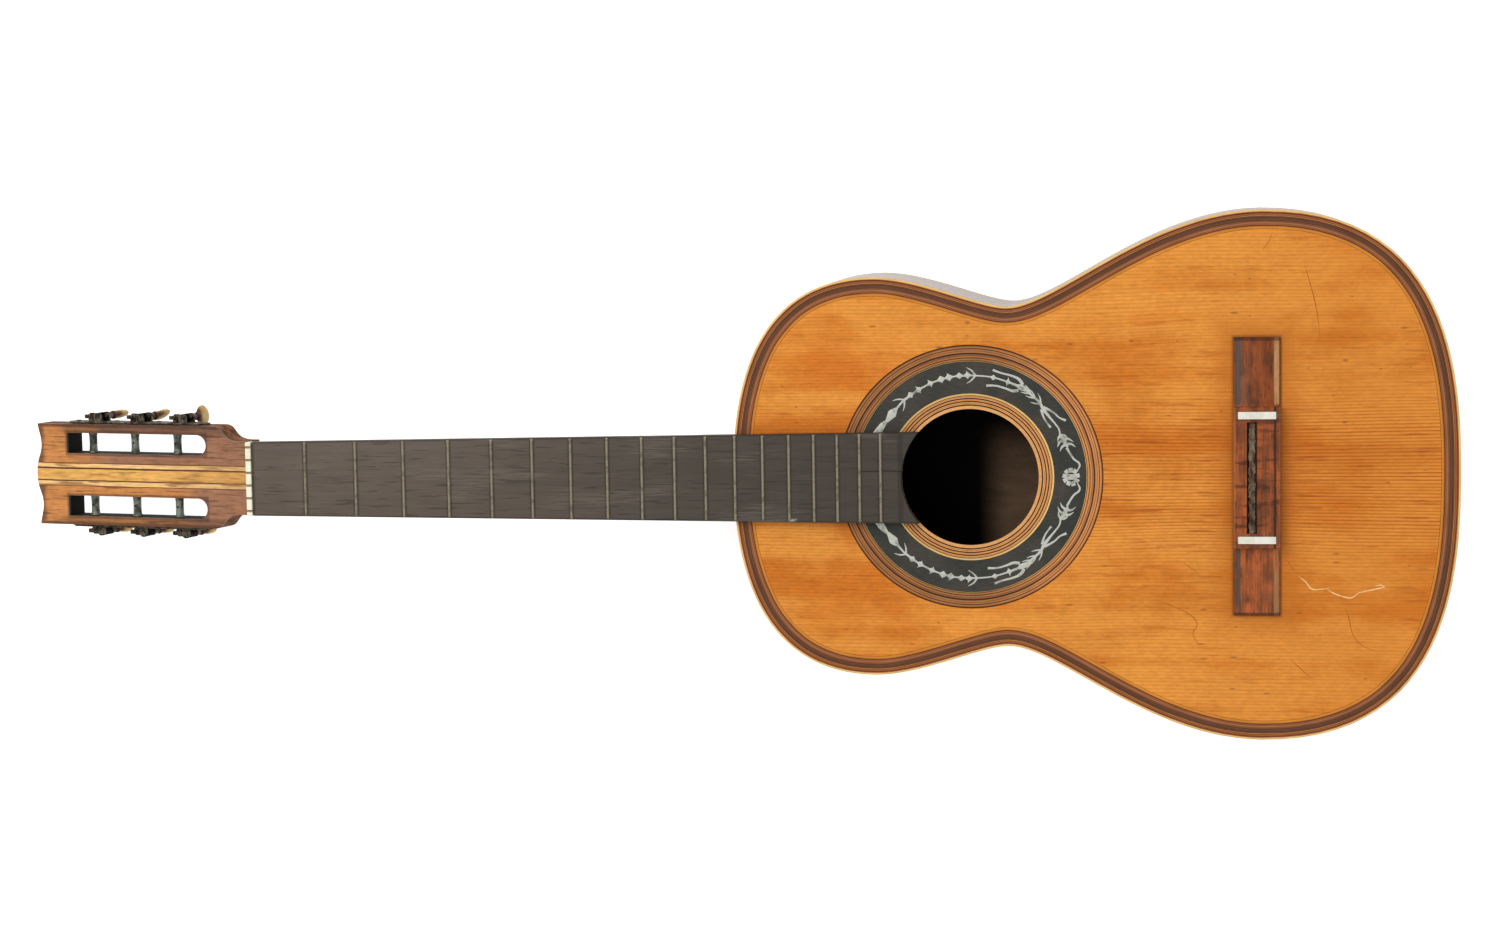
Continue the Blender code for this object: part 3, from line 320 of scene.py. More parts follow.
def add_rod(name: str, radius: float, start: Point, end: Point, sides: int = 32) -> Piece:
    """A round bar between two points, to be shaped further.

    Args:
        name: The piece's name.
        radius: The bar's radius.
        start: The middle of one end.
        end: The middle of the other end.
        sides: How many flats go round it.

    Returns:
        The bar.
    """
    run, centre = Vector(end) - Vector(start), (Vector(start) + Vector(end)) / 2
    turn = run.to_track_quat("Z", "Y").to_euler()
    bpy.ops.mesh.primitive_cylinder_add(
        vertices=sides, radius=radius, depth=run.length, location=centre, rotation=turn
    )
    return named(name)


def from_sections(name: str, sections: Sequence[Sequence[Point]]) -> Piece:
    """Skin a row of closed sections; the neck's swelling heel needs each one worked out.

    Args:
        name: The piece's name.
        sections: Closed loops that hold the same number of points.

    Returns:
        The closed skin.
    """
    count = len(sections[0])
    points = [point for section in sections for point in section]
    faces = [list(range(count)), list(range(len(points) - count, len(points)))[::-1]]
    for row in range(len(sections) - 1):
        for i in range(count):
            j = (i + 1) % count
            faces.append([row * count + i, row * count + j, (row + 1) * count + j, (row + 1) * count + i])
    piece = from_faces(name, points, faces)
    outwards(piece)
    return piece


def copy_of(piece: Piece, name: str, place: Matrix | None = None) -> Piece:
    """A copy of a piece with its own mesh, moved to its place.

    Args:
        piece: The piece to copy.
        name: The copy's name.
        place: The move that is baked into it.

    Returns:
        The copy.
    """
    only(piece)
    bpy.ops.object.duplicate(linked=False)
    twin = bpy.context.active_object
    twin.name = twin.data.name = name
    return settle(twin, place)


def join(name: str, pieces: Sequence[Piece]) -> Piece:
    """Make one object of several.

    Args:
        name: The name of the whole.
        pieces: The objects, the first of which stays.

    Returns:
        The joined object.
    """
    only(pieces[0])
    for piece in pieces[1:]:
        piece.select_set(True)
    if len(pieces) > 1:
        bpy.ops.object.join()
    pieces[0].name = pieces[0].data.name = name
    return pieces[0]


def carve(piece: Piece, *tools: Piece, way: str = "DIFFERENCE") -> Piece:
    """Cut tools out of a piece, add them or keep what they share, and put them away.

    Args:
        piece: The piece that is worked.
        tools: The closed objects it is worked with.
        way: The Boolean's operation.

    Returns:
        The piece.
    """
    for tool in tools:
        work(piece, "BOOLEAN", operation=way, solver="EXACT", object=tool)
        put_away(tool)
    return piece


def ease(piece: Piece, width: float, steps: int = 2, angle: float = 40.0) -> Piece:
    """Round a piece's sharp edges a little, as sanding does.

    Args:
        piece: The piece.
        width: How wide the rounding is.
        steps: Its segments.
        angle: The least angle in degrees of an edge that is rounded.

    Returns:
        The piece.
    """
    limits = {"limit_method": "ANGLE", "angle_limit": math.radians(angle), "use_clamp_overlap": True}
    return work(piece, "BEVEL", width=width, segments=steps, **limits)


def keep_below(piece: Piece, point: Point, normal: Point) -> Piece:
    """Cut a piece with a plane, keep what lies behind it, and close the cut.

    Args:
        piece: The piece.
        point: A point on the plane.
        normal: The direction that is cut away.

    Returns:
        The piece.
    """
    with editing(piece):
        bpy.ops.mesh.select_all(action="SELECT")
        bpy.ops.mesh.bisect(
            plane_co=point, plane_no=normal, use_fill=True, clear_outer=True, clear_inner=False
        )
    outwards(piece)
    return piece


def string_places(spread: float) -> list[float]:
    """The Y of each string from treble to bass, spread over a width."""
    return [spread * (0.5 - i / (STRINGS - 1)) for i in range(STRINGS)]


def hand_over(
    piece: Piece, finish: "Finish", slot: str, *nodes: str, body: str = BODY, angle: float = 35.0
) -> Piece:
    """Finish a piece: smooth its round parts, dress it and let it ride.

    Args:
        piece: The modelled piece, in its place.
        finish: What its surface looks like.
        slot: Not used.
        nodes: The CAD nodes that it stands for.
        body: The CAD body that it rides on.
        angle: The least angle in degrees of an edge that stays sharp.

    Returns:
        The piece.
    """
    only(piece)
    bpy.ops.object.shade_smooth_by_angle(angle=math.radians(angle))
    piece.data.materials.clear()
    piece.data.materials.append(finish.material())
    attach(piece, body)
    if nodes:
        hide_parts(*nodes)
    log.info("%s: %d faces on %s", piece.name, len(piece.data.polygons), body)
    return piece


# ---------------------------------------------------------------- shader sums


def operator(operation: str, turned: bool = False) -> Callable[["Socket", "Value"], "Socket"]:
    """An operator of Socket that adds one kind of Math node.

    Args:
        operation: What the node works out.
        turned: Whether the other value comes first, as in 1 - mask.

    Returns:
        The operator's method.
    """

    def method(self: "Socket", other: "Value") -> "Socket":
        """Work on this value and another one."""
        return self.paint.math(operation, *((other, self) if turned else (self, other)))

    return method


class Socket:
    """A node's output; sums written on it in Python become Math nodes."""

    __add__, __radd__ = operator("ADD"), operator("ADD", True)
    __sub__, __rsub__ = operator("SUBTRACT"), operator("SUBTRACT", True)
    __mul__, __rmul__ = operator("MULTIPLY"), operator("MULTIPLY", True)
    __truediv__, __rtruediv__ = operator("DIVIDE"), operator("DIVIDE", True)
    __or__, __ror__ = operator("MAXIMUM"), operator("MAXIMUM", True)

    def __init__(self, paint: "Paint", out: bpy.types.NodeSocket) -> None:
        """Wrap an output.

        Args:
            paint: The material that the node belongs to.
            out: The node's output.
        """
        self.paint = paint
        self.out = out

    def __abs__(self) -> "Socket":
        """This without its sign."""
        return self.paint.math("ABSOLUTE", self)

    def beside(self, name: int | str) -> "Socket":
        """Another output of the same node."""
        return Socket(self.paint, self.out.node.outputs[name])

    def rise(self, low: float, high: float) -> "Socket":
        """A smooth step of this value, 0 at low and 1 at high.

        Args:
            low: Where the step starts.
            high: Where it ends; below low, the step falls.

        Returns:
            The step.
        """
        sockets = {"Value": self, "From Min": low, "From Max": high}
        return self.paint.node("ShaderNodeMapRange", {"interpolation_type": "SMOOTHSTEP"}, sockets)

    def band(self, low: float, high: float, soft: float) -> "Socket":
        """A mask that is 1 between two values, with soft edges of this width."""
        return self.rise(low - soft / 2, low + soft / 2) * self.rise(high + soft / 2, high - soft / 2)


Value = Socket | float
Tone = Socket | Colour


class Paint:
    """A material, or the world, while its nodes are laid out."""

    def __init__(self, made: bpy.types.Material | bpy.types.World) -> None:
        """Empty its nodes.

        Args:
            made: The new material or world.
        """
        made.use_nodes = True
        self.made, self.tree = made, made.node_tree
        self.tree.nodes.clear()
        self.place = self.node("ShaderNodeTexCoord", {}, {}, out="Object")
        self.x, self.y, self.z = self.split(self.place)

    def node(self, kind: str, settings: dict, sockets: dict, out: int | str = 0) -> Socket:
        """Add a node.

        Args:
            kind: The node's type.
            settings: Its properties, and "stops" for a ramp's positions and colours.
            sockets: Values or links of its inputs, by name or number.
            out: The output that is returned.

        Returns:
            The wrapped output.
        """
        made = self.tree.nodes.new(kind)
        for key, value in settings.items():
            if key != "stops":
                setattr(made, key, value)
                continue
            ramp = made.color_ramp.elements
            while len(ramp) < len(value):
                ramp.new(1.0)
            for stop, (position, colour) in zip(ramp, value):
                stop.position = position
                stop.color = (*colour, 1.0)
        for key, value in sockets.items():
            target = made.inputs[key]
            if isinstance(value, Socket):
                self.tree.links.new(value.out, target)
            elif target.type == "RGBA" and len(value) == 3:
                target.default_value = (*value, 1.0)
            else:
                target.default_value = value
        return Socket(self, made.outputs[out])

    def math(self, operation: str, *values: Value) -> Socket:
        """Add a Math node.

        Args:
            operation: What it works out.
            values: Its operands.

        Returns:
            Its result.
        """
        return self.node("ShaderNodeMath", {"operation": operation}, dict(enumerate(values)))

    def split(self, vector: Socket) -> tuple[Socket, Socket, Socket]:
        """The three numbers of a vector."""
        first = self.node("ShaderNodeSeparateXYZ", {}, {0: vector})
        return first, first.beside(1), first.beside(2)

    def vector(self, x: Value, y: Value, z: Value = 0.0) -> Socket:
        """A vector of three values."""
        return self.node("ShaderNodeCombineXYZ", {}, {0: x, 1: y, 2: z})

    def vector_math(self, operation: str, sockets: dict, out: int | str = 0) -> Socket:
        """Add a Vector Math node."""
        return self.node("ShaderNodeVectorMath", {"operation": operation}, sockets, out)

    def radius(self, x: Value, y: Value) -> Socket:
        """The length of a flat vector."""
        return self.vector_math("LENGTH", {0: self.vector(x, y)}, "Value")

    def run(self) -> tuple[Socket, Socket]:
        """The way along the body's outline and the distance inside it, from the piece's own map."""
        return self.split(self.node("ShaderNodeUVMap", {"uv_map": "run"}, {}))[:2]

    def noise(self, scale: Point, detail: float = 2.0, at: Socket | None = None, seed: float = 0.0) -> Socket:
        """Soft random variation from 0 to 1, about 0.5.

        Args:
            scale: How many patches to a metre, along each axis.
            detail: How many finer layers it has.
            at: The coordinates; None takes the object's own.
            seed: A shift that makes this one unlike the others.

        Returns:
            The variation.
        """
        spot = self.vector_math(
            "MULTIPLY_ADD", {0: at or self.place, 1: scale, 2: (seed, 1.7 * seed, 0.6 * seed)}
        )
        return self.node("ShaderNodeTexNoise", {}, {"Vector": spot, "Scale": 1.0, "Detail": detail})

    def specks(self, scale: Point, size: float, share: float, seed: float = 0.0) -> Socket:
        """A mask of scattered round specks.

        Args:
            scale: How many cells to a metre, along each axis.
            size: The specks' radius as a share of a cell.
            share: The share of the cells that hold one.
            seed: A shift of the pattern.

        Returns:
            The mask.
        """
        spot = self.vector_math("MULTIPLY_ADD", {0: self.place, 1: scale, 2: (seed, seed, seed)})
        cell = self.node("ShaderNodeTexVoronoi", {}, {"Vector": spot, "Scale": 1.0})
        chosen = self.node("ShaderNodeSeparateColor", {}, {0: cell.beside("Color")})
        return cell.rise(size, size * 0.4) * chosen.rise(share + 0.01, share)

    def blend(self, mask: Value, first: Tone, second: Tone) -> Socket:
        """Go from a first colour to a second one where a mask is 1."""
        return self.node("ShaderNodeMix", {"data_type": "RGBA"}, {0: mask, 6: first, 7: second}, out=2)

    def over(self, colour: Tone, *coats: tuple[Value, Tone]) -> Tone:
        """Lay coats over a colour.

        Args:
            colour: The ground.
            coats: From the lowest up, each coat's mask and colour.

        Returns:
            The colour of the whole.
        """
        for mask, tone in coats:
            colour = self.blend(mask, colour, tone)
        return colour

    def scaled(self, colour: Tone, factor: Value) -> Socket:
        """A colour made darker or lighter by a factor."""
        return self.vector_math("SCALE", {0: colour, "Scale": factor})

    def ramp(self, value: Socket, stops: Sequence[tuple[float, Colour]], crisp: bool = False) -> Socket:
        """Colours along a value.

        Args:
            value: Where to look, from 0 to 1.
            stops: Positions and colours.
            crisp: Whether each colour holds until the next stop.

        Returns:
            The colour.
        """
        made = self.node("ShaderNodeValToRGB", {"stops": stops}, {0: value})
        made.out.node.color_ramp.interpolation = "CONSTANT" if crisp else "LINEAR"
        return made

    def lines(self, value: Socket, edges: Sequence[tuple[float, Colour]], end: float) -> Socket:
        """Crisp bands of colour along a length, as in laminated wood strips.

        Args:
            value: The length, in metres.
            edges: Where each band starts, in millimetres, and its colour.
            end: Where the last band ends, in millimetres.

        Returns:
            The colour.
        """
        start = edges[0][0]
        share = (value * 1000.0 - start) / (end - start)
        return self.ramp(share, [((edge - start) / (end - start), colour) for edge, colour in edges], True)

    def mark(self, start: tuple[float, float], end: tuple[float, float], width: float) -> Socket:
        """A mask along a straight mark, soft at its edges.

        Args:
            start: The X and Y of one end.
            end: The X and Y of the other end.
            width: Its width.

        Returns:
            The mask.
        """
        run = Vector(end) - Vector(start)
        dx, dy = self.x - start[0], self.y - start[1]
        share = (dx * run.x + dy * run.y) / run.length_squared
        across = abs(dx * (run.y / run.length) - dy * (run.x / run.length))
        return across.rise(width * 0.75, width * 0.25) * share.band(0.0, 1.0, 0.06)

    def bump(self, height: Socket, depth: float) -> Socket:
        """The normal of a surface whose height varies by a depth in metres."""
        return self.node("ShaderNodeBump", {}, {"Height": height, "Distance": depth, "Strength": 1.0})

    def surface(
        self,
        colour: Tone,
        roughness: Value,
        normal: Socket | None = None,
        metallic: Value = 0.0,
        coat: Value = 0.0,
        **fixed: float,
    ) -> bpy.types.Material:
        """Close the material with one Principled shader.

        Args:
            colour: The base colour.
            roughness: How matt it is.
            normal: The bumped normal, if any.
            metallic: 1 for bare metal.
            coat: How much varnish lies on it.
            fixed: Other sockets by name with underscores, the same all over.

        Returns:
            The finished material.
        """
        sockets = {"Base Color": colour, "Roughness": roughness, "Metallic": metallic, "Coat Weight": coat}
        sockets["Specular IOR Level"] = 0.14
        sockets |= {key.replace("_", " "): value for key, value in fixed.items()}
        if normal:
            sockets["Normal"] = normal
        return self.close(self.node("ShaderNodeBsdfPrincipled", {}, sockets))

    def close(self, shader: Socket) -> bpy.types.Material | bpy.types.World:
        """Link a shader to the output.

        Args:
            shader: The finished shader.

        Returns:
            The material or the world.
        """
        end = self.tree.nodes.new(f"ShaderNodeOutput{type(self.made).__name__}")
        self.tree.links.new(shader.out, end.inputs["Surface"])
        return self.made


@dataclass(frozen=True)
class Finish:
    """A surface finish; each kind lays out its own nodes in paint_on."""

    name: str

    def material(self) -> bpy.types.Material:
        """The finish as a material, made once."""
        name = f"{self.name}_finish"
        return bpy.data.materials.get(name) or self.paint_on(Paint(bpy.data.materials.new(name)))

    def paint_on(self, paint: Paint) -> bpy.types.Material:
        """Lay out the nodes of the finish.

        Args:
            paint: The empty material.

        Returns:
            The finished material.
        """
        raise NotImplementedError


@dataclass(frozen=True)
class Wood(Finish):
    """Plain wood with its grain along X: a light and a dark colour, streaks, pores and a matt varnish."""

    light: Colour
    dark: Colour
    ring: float = 260.0
    contrast: float = 1.0
    roughness: float = 0.45
    coat: float = 0.0
    along_run: bool = False
    depth: float = 0.00008
    sheen: float = 0.14

    def grain(self, paint: Paint) -> tuple[Socket, Socket, Socket]:
        """The wood's own pattern.

        Args:
            paint: The material.

        Returns:
            The coordinates along the grain, the streaks and the pores.
        """
        if self.along_run:
            u, v = paint.run()
            at = paint.vector(u, paint.z + 0.7 * v, v)
        else:
            at = paint.place
        sway = paint.noise((7.0, 22.0, 22.0), 1.0, at, 3.0) - 0.5
        x, y, z = paint.split(at)
        bent = paint.vector(x, y + sway * 0.008, z + sway * 0.006)
        streaks = paint.noise((3.0, self.ring, self.ring), 3.0, bent)
        pores = paint.noise((60.0, 2200.0, 2200.0), 2.0, bent, 9.0)
        return at, streaks, pores

    def soiled(self, paint: Paint, colour: Socket) -> Socket:
        """The wood's colour with any painted shade and light laid on; plain wood has none."""
        return colour

    def paint_on(self, paint: Paint) -> bpy.types.Material:
        """Streaks and pores over slow changes of tone."""
        at, streaks, pores = self.grain(paint)
        half = 0.17 / self.contrast
        colour = paint.blend(streaks.rise(0.5 - half, 0.5 + half), self.dark, self.light)
        slow = paint.noise((9.0, 30.0, 30.0), 2.0, at, 5.0)
        colour = paint.scaled(colour, 0.72 + 0.36 * slow + 0.2 * pores)
        dark_pores = pores.rise(0.36, 0.28)
        colour = self.soiled(paint, paint.blend(dark_pores * 0.5, colour, paint.scaled(self.dark, 0.4)))
        rough = self.roughness + 0.1 * (slow - 0.5) + 0.08 * dark_pores
        normal = paint.bump(streaks * 0.4 + pores, self.depth)
        fixed = {"coat": self.coat, "Coat_Roughness": 0.2, "Specular_IOR_Level": self.sheen}
        return paint.surface(colour, rough, normal, **fixed)


@dataclass(frozen=True)
class BackWood(Wood):
    """The back's rosewood, with painted shade that makes it nearly black where it looks into the body, and a
    brown painted pool of light by the hole.
    """

    patch_from: float = 0.0

    def soiled(self, paint: Paint, colour: Socket) -> Socket:
        """Painted shade inside the body, and a brown painted pool of light by the hole."""
        # Painted shade: the inner face, which looks into the body, is darkened to nearly black.
        inside = paint.z.rise(0.0018, 0.0024)
        colour = paint.scaled(colour, 1.0 - 0.99 * inside)
        # Painted light: a mottled brown lit patch on the inner face, beyond patch_from and towards the bass
        # side.
        lit_patch = paint.x.rise(self.patch_from, self.patch_from + 0.024) * paint.y.rise(0.034, 0.008)
        mottled = 0.55 + 0.7 * paint.noise((60.0, 160.0, 60.0), 3.0, seed=41.0)
        return paint.blend(inside * lit_patch, colour, paint.scaled((0.230, 0.142, 0.085), mottled))


@dataclass(frozen=True)
class SpruceTop(Finish):
    """Orange varnished spruce: close dark lines, a mirrored middle, grime, dents and scratches."""

    light: Colour = (0.80, 0.308, 0.045)
    deep: Colour = (0.63, 0.178, 0.014)
    line: Colour = (0.34, 0.055, 0.003)
    lip: Colour = (0.72, 0.36, 0.130)
    grime: Colour = (0.25, 0.070, 0.014)
    spacing: float = 0.00220
    hole_x: float = 0.0
    hole_radius: float = 0.0
    lip_width: float = 0.0
    bridge_at: tuple[float, float] = (0.0, 0.0)
    bridge_half: tuple[float, float] = (0.0, 0.0)

    def paint_on(self, paint: Paint) -> bpy.types.Material:
        """Grain, tone, grime and dents, from the wood up."""
        x, y = paint.x, paint.y
        across = abs(y)
        sway = paint.noise((4.5, 8.0, 0.0), 1.0) - 0.5
        flow = across + sway * 0.009 * across.rise(0.0, 0.04)
        at = paint.vector(x, flow)
        pace = paint.noise((1.2, 42.0, 0.0), 1.0, at, 21.0)
        ring = paint.math("FRACT", flow / self.spacing + 2.2 * pace)
        late = ring.rise(0.30, 0.90) * ring.rise(1.0, 0.92)
        dash = paint.noise((26.0, 700.0, 0.0), 2.0, at, 4.0)
        slow = paint.noise((9.0, 16.0, 0.0), 4.0, seed=8.0)
        swath = paint.noise((1.6, 52.0, 0.0), 2.0, at, 14.0)
        ruddy = paint.noise((18.0, 30.0, 0.0), 3.0, seed=31.0)
        colour = paint.blend((swath * 0.50 + ruddy * 0.50).rise(0.37, 0.57), self.deep, self.light)
        bold = x.rise(0.14, 0.24) * across.rise(0.064, 0.026)
        strength = (0.24 + 0.26 * bold + 0.20 * bold * x.rise(0.30, 0.36)) * (0.12 + 1.8 * dash)
        colour = paint.blend(late * strength, colour, self.line)
        fine = paint.noise((240.0, 420.0, 0.0), 2.0, seed=51.0)
        colour = paint.scaled(colour, 0.57 + 0.30 * slow + 0.16 * dash + 0.46 * fine)
        streaks = paint.noise((30.0, 380.0, 0.0), 3.0, at, 17.0).rise(0.58, 0.68)
        dx = abs(x - self.bridge_at[0]) - self.bridge_half[0]
        dy = abs(y - self.bridge_at[1]) - self.bridge_half[1]
        gap = dx | dy
        halo = gap.rise(0.022, -0.001) * (0.35 + 0.9 * paint.noise((60.0, 60.0, 0.0), 3.0, seed=2.0))
        large = paint.specks((48.0, 170.0, 40.0), 0.17, 0.17)
        wide = paint.specks((30.0, 60.0, 30.0), 0.07, 0.45, 3.3)
        spots = large | wide | paint.specks((110.0, 220.0, 100.0), 0.15, 0.035, 7.1)
        radius = paint.radius(x - self.hole_x, y)
        edge = self.hole_radius * 1000.0
        bands = ((edge - 0.5, UMBER), (edge, self.lip), (edge + 2.0, SOOT))
        lip = paint.scaled(paint.lines(radius, bands, edge + 3.0), 0.50 + 0.5 * slow + 0.5 * fine)
        lip_end = self.hole_radius + self.lip_width
        colour = paint.over(
            colour,
            (x.rise(0.30, 0.44) * 0.30, self.deep),
            (streaks * (0.30 + 0.25 * bold), self.line),
            (across.rise(0.0005, 0.0002) * 0.35, self.line),
            (halo * 0.75, paint.scaled(self.deep, 0.86)),
            (gap.rise(0.0022, 0.0) * 0.6, self.grime),
            (spots * 0.6, self.grime),
            (radius.rise(lip_end, lip_end - 0.0001), lip),
            # Painted shade: the top is nearly black below its face, on the soundhole's wall and its
            # underside.
            (paint.z.rise(0.0873, 0.0868) * 0.9, (0.040, 0.016, 0.006)),
        )
        rough = 0.38 + 0.14 * slow + 0.1 * spots
        normal = paint.bump(late * 0.4 + dash * 0.3 - spots, 0.00005)
        return paint.surface(colour, rough, normal, coat=0.10, Coat_Roughness=0.2)


@dataclass(frozen=True)
class Scratch(Finish):
    """A scratch's own tone: pale where the varnish is gone, reddish brown where dirt fills it."""

    tone: Colour
    grime: Colour

    def paint_on(self, paint: Paint) -> bpy.types.Material:
        """One tone, dirtier in places."""
        patch = paint.noise((260.0, 260.0, 260.0), 3.0)
        colour = paint.blend(patch.rise(0.40, 0.66), self.tone, self.grime)
        return paint.surface(colour, 0.6)


@dataclass(frozen=True)
class EdgeStrips(Finish):
    """Thin laminated strips that follow the body's edge, light and dark by their distance from it."""

    bands: tuple[tuple[float, Colour], ...]
    end: float

    def paint_on(self, paint: Paint) -> bpy.types.Material:
        """Bands by the distance from the edge, with grain along the run."""
        u, v = paint.run()
        at = paint.vector(u, v, paint.z)
        waver = paint.noise((60.0, 0.0, 0.0), 2.0, at, 2.0) - 0.5
        colour = paint.lines(v + waver * 0.00025, self.bands, self.end)
        grain = paint.noise((60.0, 2400.0, 2400.0), 2.0, at)
        patch = paint.noise((45.0, 160.0, 0.0), 3.0, at, 5.0)
        colour = paint.scaled(colour, 0.45 + 0.55 * grain + 0.55 * patch)
        return paint.surface(colour, 0.42 + 0.15 * patch, paint.bump(grain, 0.00004), coat=0.06)


@dataclass(frozen=True)
class RingStrips(Finish):
    """Bent strips round the soundhole, light and dark by their distance from its middle."""

    centre: float
    bands: tuple[tuple[float, Colour], ...]
    end: float

    def paint_on(self, paint: Paint) -> bpy.types.Material:
        """Bands by radius, with grain along each ring."""
        radius = paint.radius(paint.x - self.centre, paint.y)
        turn = paint.math("ARCTAN2", paint.y, paint.x - self.centre)
        at = paint.vector(abs(turn), radius, 0.0)
        waver = paint.noise((9.0, 0.0, 0.0), 2.0, at, 2.0) - 0.5
        colour = paint.lines(radius + waver * 0.0003, self.bands, self.end)
        grain = paint.noise((9.0, 2600.0, 0.0), 2.0, at)
        patch = paint.noise((6.0, 260.0, 0.0), 3.0, at, 5.0)
        side = abs(turn).rise(0.7, 1.5)
        darker = 1.0 - side * (0.12 + 0.27 * radius.rise(0.066, 0.076))
        colour = paint.scaled(colour, (0.44 + 0.6 * grain + 0.52 * patch) * darker)
        return paint.surface(colour, 0.40 + 0.15 * patch, paint.bump(grain, 0.00004), coat=0.1)


@dataclass(frozen=True)
class BlackMastic(Finish):
    """The dark bed of the rosette's inlay: brownish black, brushed by fine scratches."""

    def paint_on(self, paint: Paint) -> bpy.types.Material:
        """Slow patches under a fine brushed grain."""
        fine = paint.noise((260.0, 900.0, 0.0), 3.0)
        slow = paint.noise((40.0, 40.0, 0.0), 3.0, seed=4.0)
        colour = paint.blend(slow.rise(0.35, 0.65), (0.040, 0.042, 0.036), (0.064, 0.055, 0.045))
        colour = paint.scaled(colour, 0.55 + 0.9 * fine)
        return paint.surface(colour, 0.42 + 0.2 * slow, paint.bump(fine, 0.00003))


@dataclass(frozen=True)
class OldMetal(Finish):
    """Metal that has gone dull: a base colour with patches of tarnish and fine pitting."""

    bright: Colour
    tarnish: Colour
    amount: float = 0.5
    roughness: float = 0.42
    metallic: float = 0.8
    grain: float = 900.0

    def paint_on(self, paint: Paint) -> bpy.types.Material:
        """Tarnish in patches, duller and rougher than the metal."""
        patch = paint.noise((self.grain / 4,) * 3, 3.0)
        pit = paint.noise((self.grain * 2,) * 3, 2.0, seed=6.0)
        dull = (patch * 0.7 + pit * 0.3).rise(0.62 - 0.3 * self.amount, 0.46 - 0.3 * self.amount + 0.28)
        colour = paint.blend(dull, self.bright, self.tarnish)
        colour = paint.scaled(colour, 0.7 + 0.6 * pit)
        metal = self.metallic * (1.0 - 0.6 * dull)
        return paint.surface(colour, self.roughness + 0.2 * dull, paint.bump(patch + pit, 0.00006), metal)


@dataclass(frozen=True)
class Bone(Finish):
    """Old bone: cream, faintly streaked, grimy in its pores and darker towards one end if it has one."""

    light: Colour
    shade: Colour
    neck: Colour = (0.20, 0.095, 0.035)
    from_along: float = 0.0
    to_along: float = 0.0
    groove_pitch: float = 0.0
    groove_top: float = 0.0

    def paint_on(self, paint: Paint) -> bpy.types.Material:
        """Cream with streaks, and a stained end where the piece notes its own height."""
        streak = paint.noise((300.0, 60.0, 300.0), 3.0)
        patch = paint.noise((120.0, 120.0, 120.0), 3.0, seed=3.0)
        colour = paint.blend(patch.rise(0.35, 0.7), self.light, self.shade)
        pits = paint.noise((1500.0, 500.0, 1500.0), 2.0, seed=8.0).rise(0.33, 0.24)
        colour = paint.over(paint.scaled(colour, 0.88 + 0.2 * streak), (pits * 0.35, self.neck))
        if self.to_along:
            note = paint.node("ShaderNodeAttribute", {"attribute_name": "along"}, {}, out="Fac")
            stain = (note + 0.0035 * (patch - 0.5)).rise(self.from_along, self.to_along)
            colour = paint.blend(stain, colour, self.neck)
        if self.groove_pitch:
            step = paint.math("FRACT", paint.y / self.groove_pitch + 10.0)
            away = abs(step - 0.5) * self.groove_pitch
            top = self.groove_top
            worn = away.rise(0.00105, 0.00055) * paint.z.rise(top - 0.0018, top - 0.0012)
            colour = paint.blend(worn * 0.9, colour, (0.27, 0.20, 0.105))
        return paint.surface(colour, 0.30 + 0.2 * patch, paint.bump(pits, 0.00004), coat=0.15, IOR=1.54)


# ---------------------------------------------------------------- finishes

CREAM: Colour = (0.84, 0.53, 0.19)
TAN: Colour = (0.62, 0.26, 0.060)
REDDISH: Colour = (0.36, 0.110, 0.034)
BROWN: Colour = (0.25, 0.085, 0.028)
UMBER: Colour = (0.155, 0.060, 0.028)
SOOT: Colour = (0.062, 0.025, 0.013)

BINDING = EdgeStrips("light_binding", ((-0.5, CREAM), (1.25, REDDISH), (1.9, UMBER)), 2.6)
PURFLING = EdgeStrips(
    "purfling_lines",
    (
        (2.0, (0.33, 0.098, 0.030)), (3.5, SOOT), (3.75, TAN), (4.05, SOOT), (4.4, UMBER), (4.9, SOOT),
        (5.3, UMBER), (5.8, SOOT), (6.1, BROWN), (6.4, SOOT), (6.8, UMBER), (7.3, BROWN), (7.7, UMBER),
        (8.0, (0.38, 0.145, 0.060)), (8.75, BROWN), (9.3, REDDISH), (9.8, SOOT),
        (10.35, (0.50, 0.16, 0.02)), (10.9, (0.66, 0.24, 0.03)),
    ),
    12.2,
)
ROSEWOOD: tuple[Colour, Colour] = (0.190, 0.062, 0.026), (0.045, 0.017, 0.010)
ROSEWOOD_RIBS = Wood("rosewood_ribs", *ROSEWOOD, 150.0, 1.1, 0.34, 0.3, along_run=True, sheen=0.3)
ROSEWOOD_BACK = BackWood("rosewood_back", *ROSEWOOD, 130.0, 1.1, 0.5, patch_from=0.164, sheen=0.04)
# Painted shade: the braces, linings and blocks show only through the soundhole, so their wood is darkened to
# nearly black.
SHADED_BRACE_WOOD = Wood("brace_spruce", (0.050, 0.022, 0.010), (0.028, 0.012, 0.006), 420.0, 1.0, 0.8, sheen=0.02)
SHADED_BLOCK_WOOD = Wood("block_cedar", (0.040, 0.018, 0.009), (0.024, 0.011, 0.006), 300.0, 1.0, 0.8, sheen=0.02)
NECK_WOOD = Wood("neck_cedar", (0.36, 0.150, 0.058), (0.20, 0.075, 0.028), 240.0, 1.0, 0.42, 0.12)
HEEL_WOOD = Wood("heel_cap_ebony", (0.085, 0.055, 0.040), (0.035, 0.022, 0.016), 300.0, 1.0, 0.42)
WORM_STEEL = OldMetal("worm_steel", (0.16, 0.12, 0.085), (0.040, 0.030, 0.024), 0.62, 0.42, 0.75)
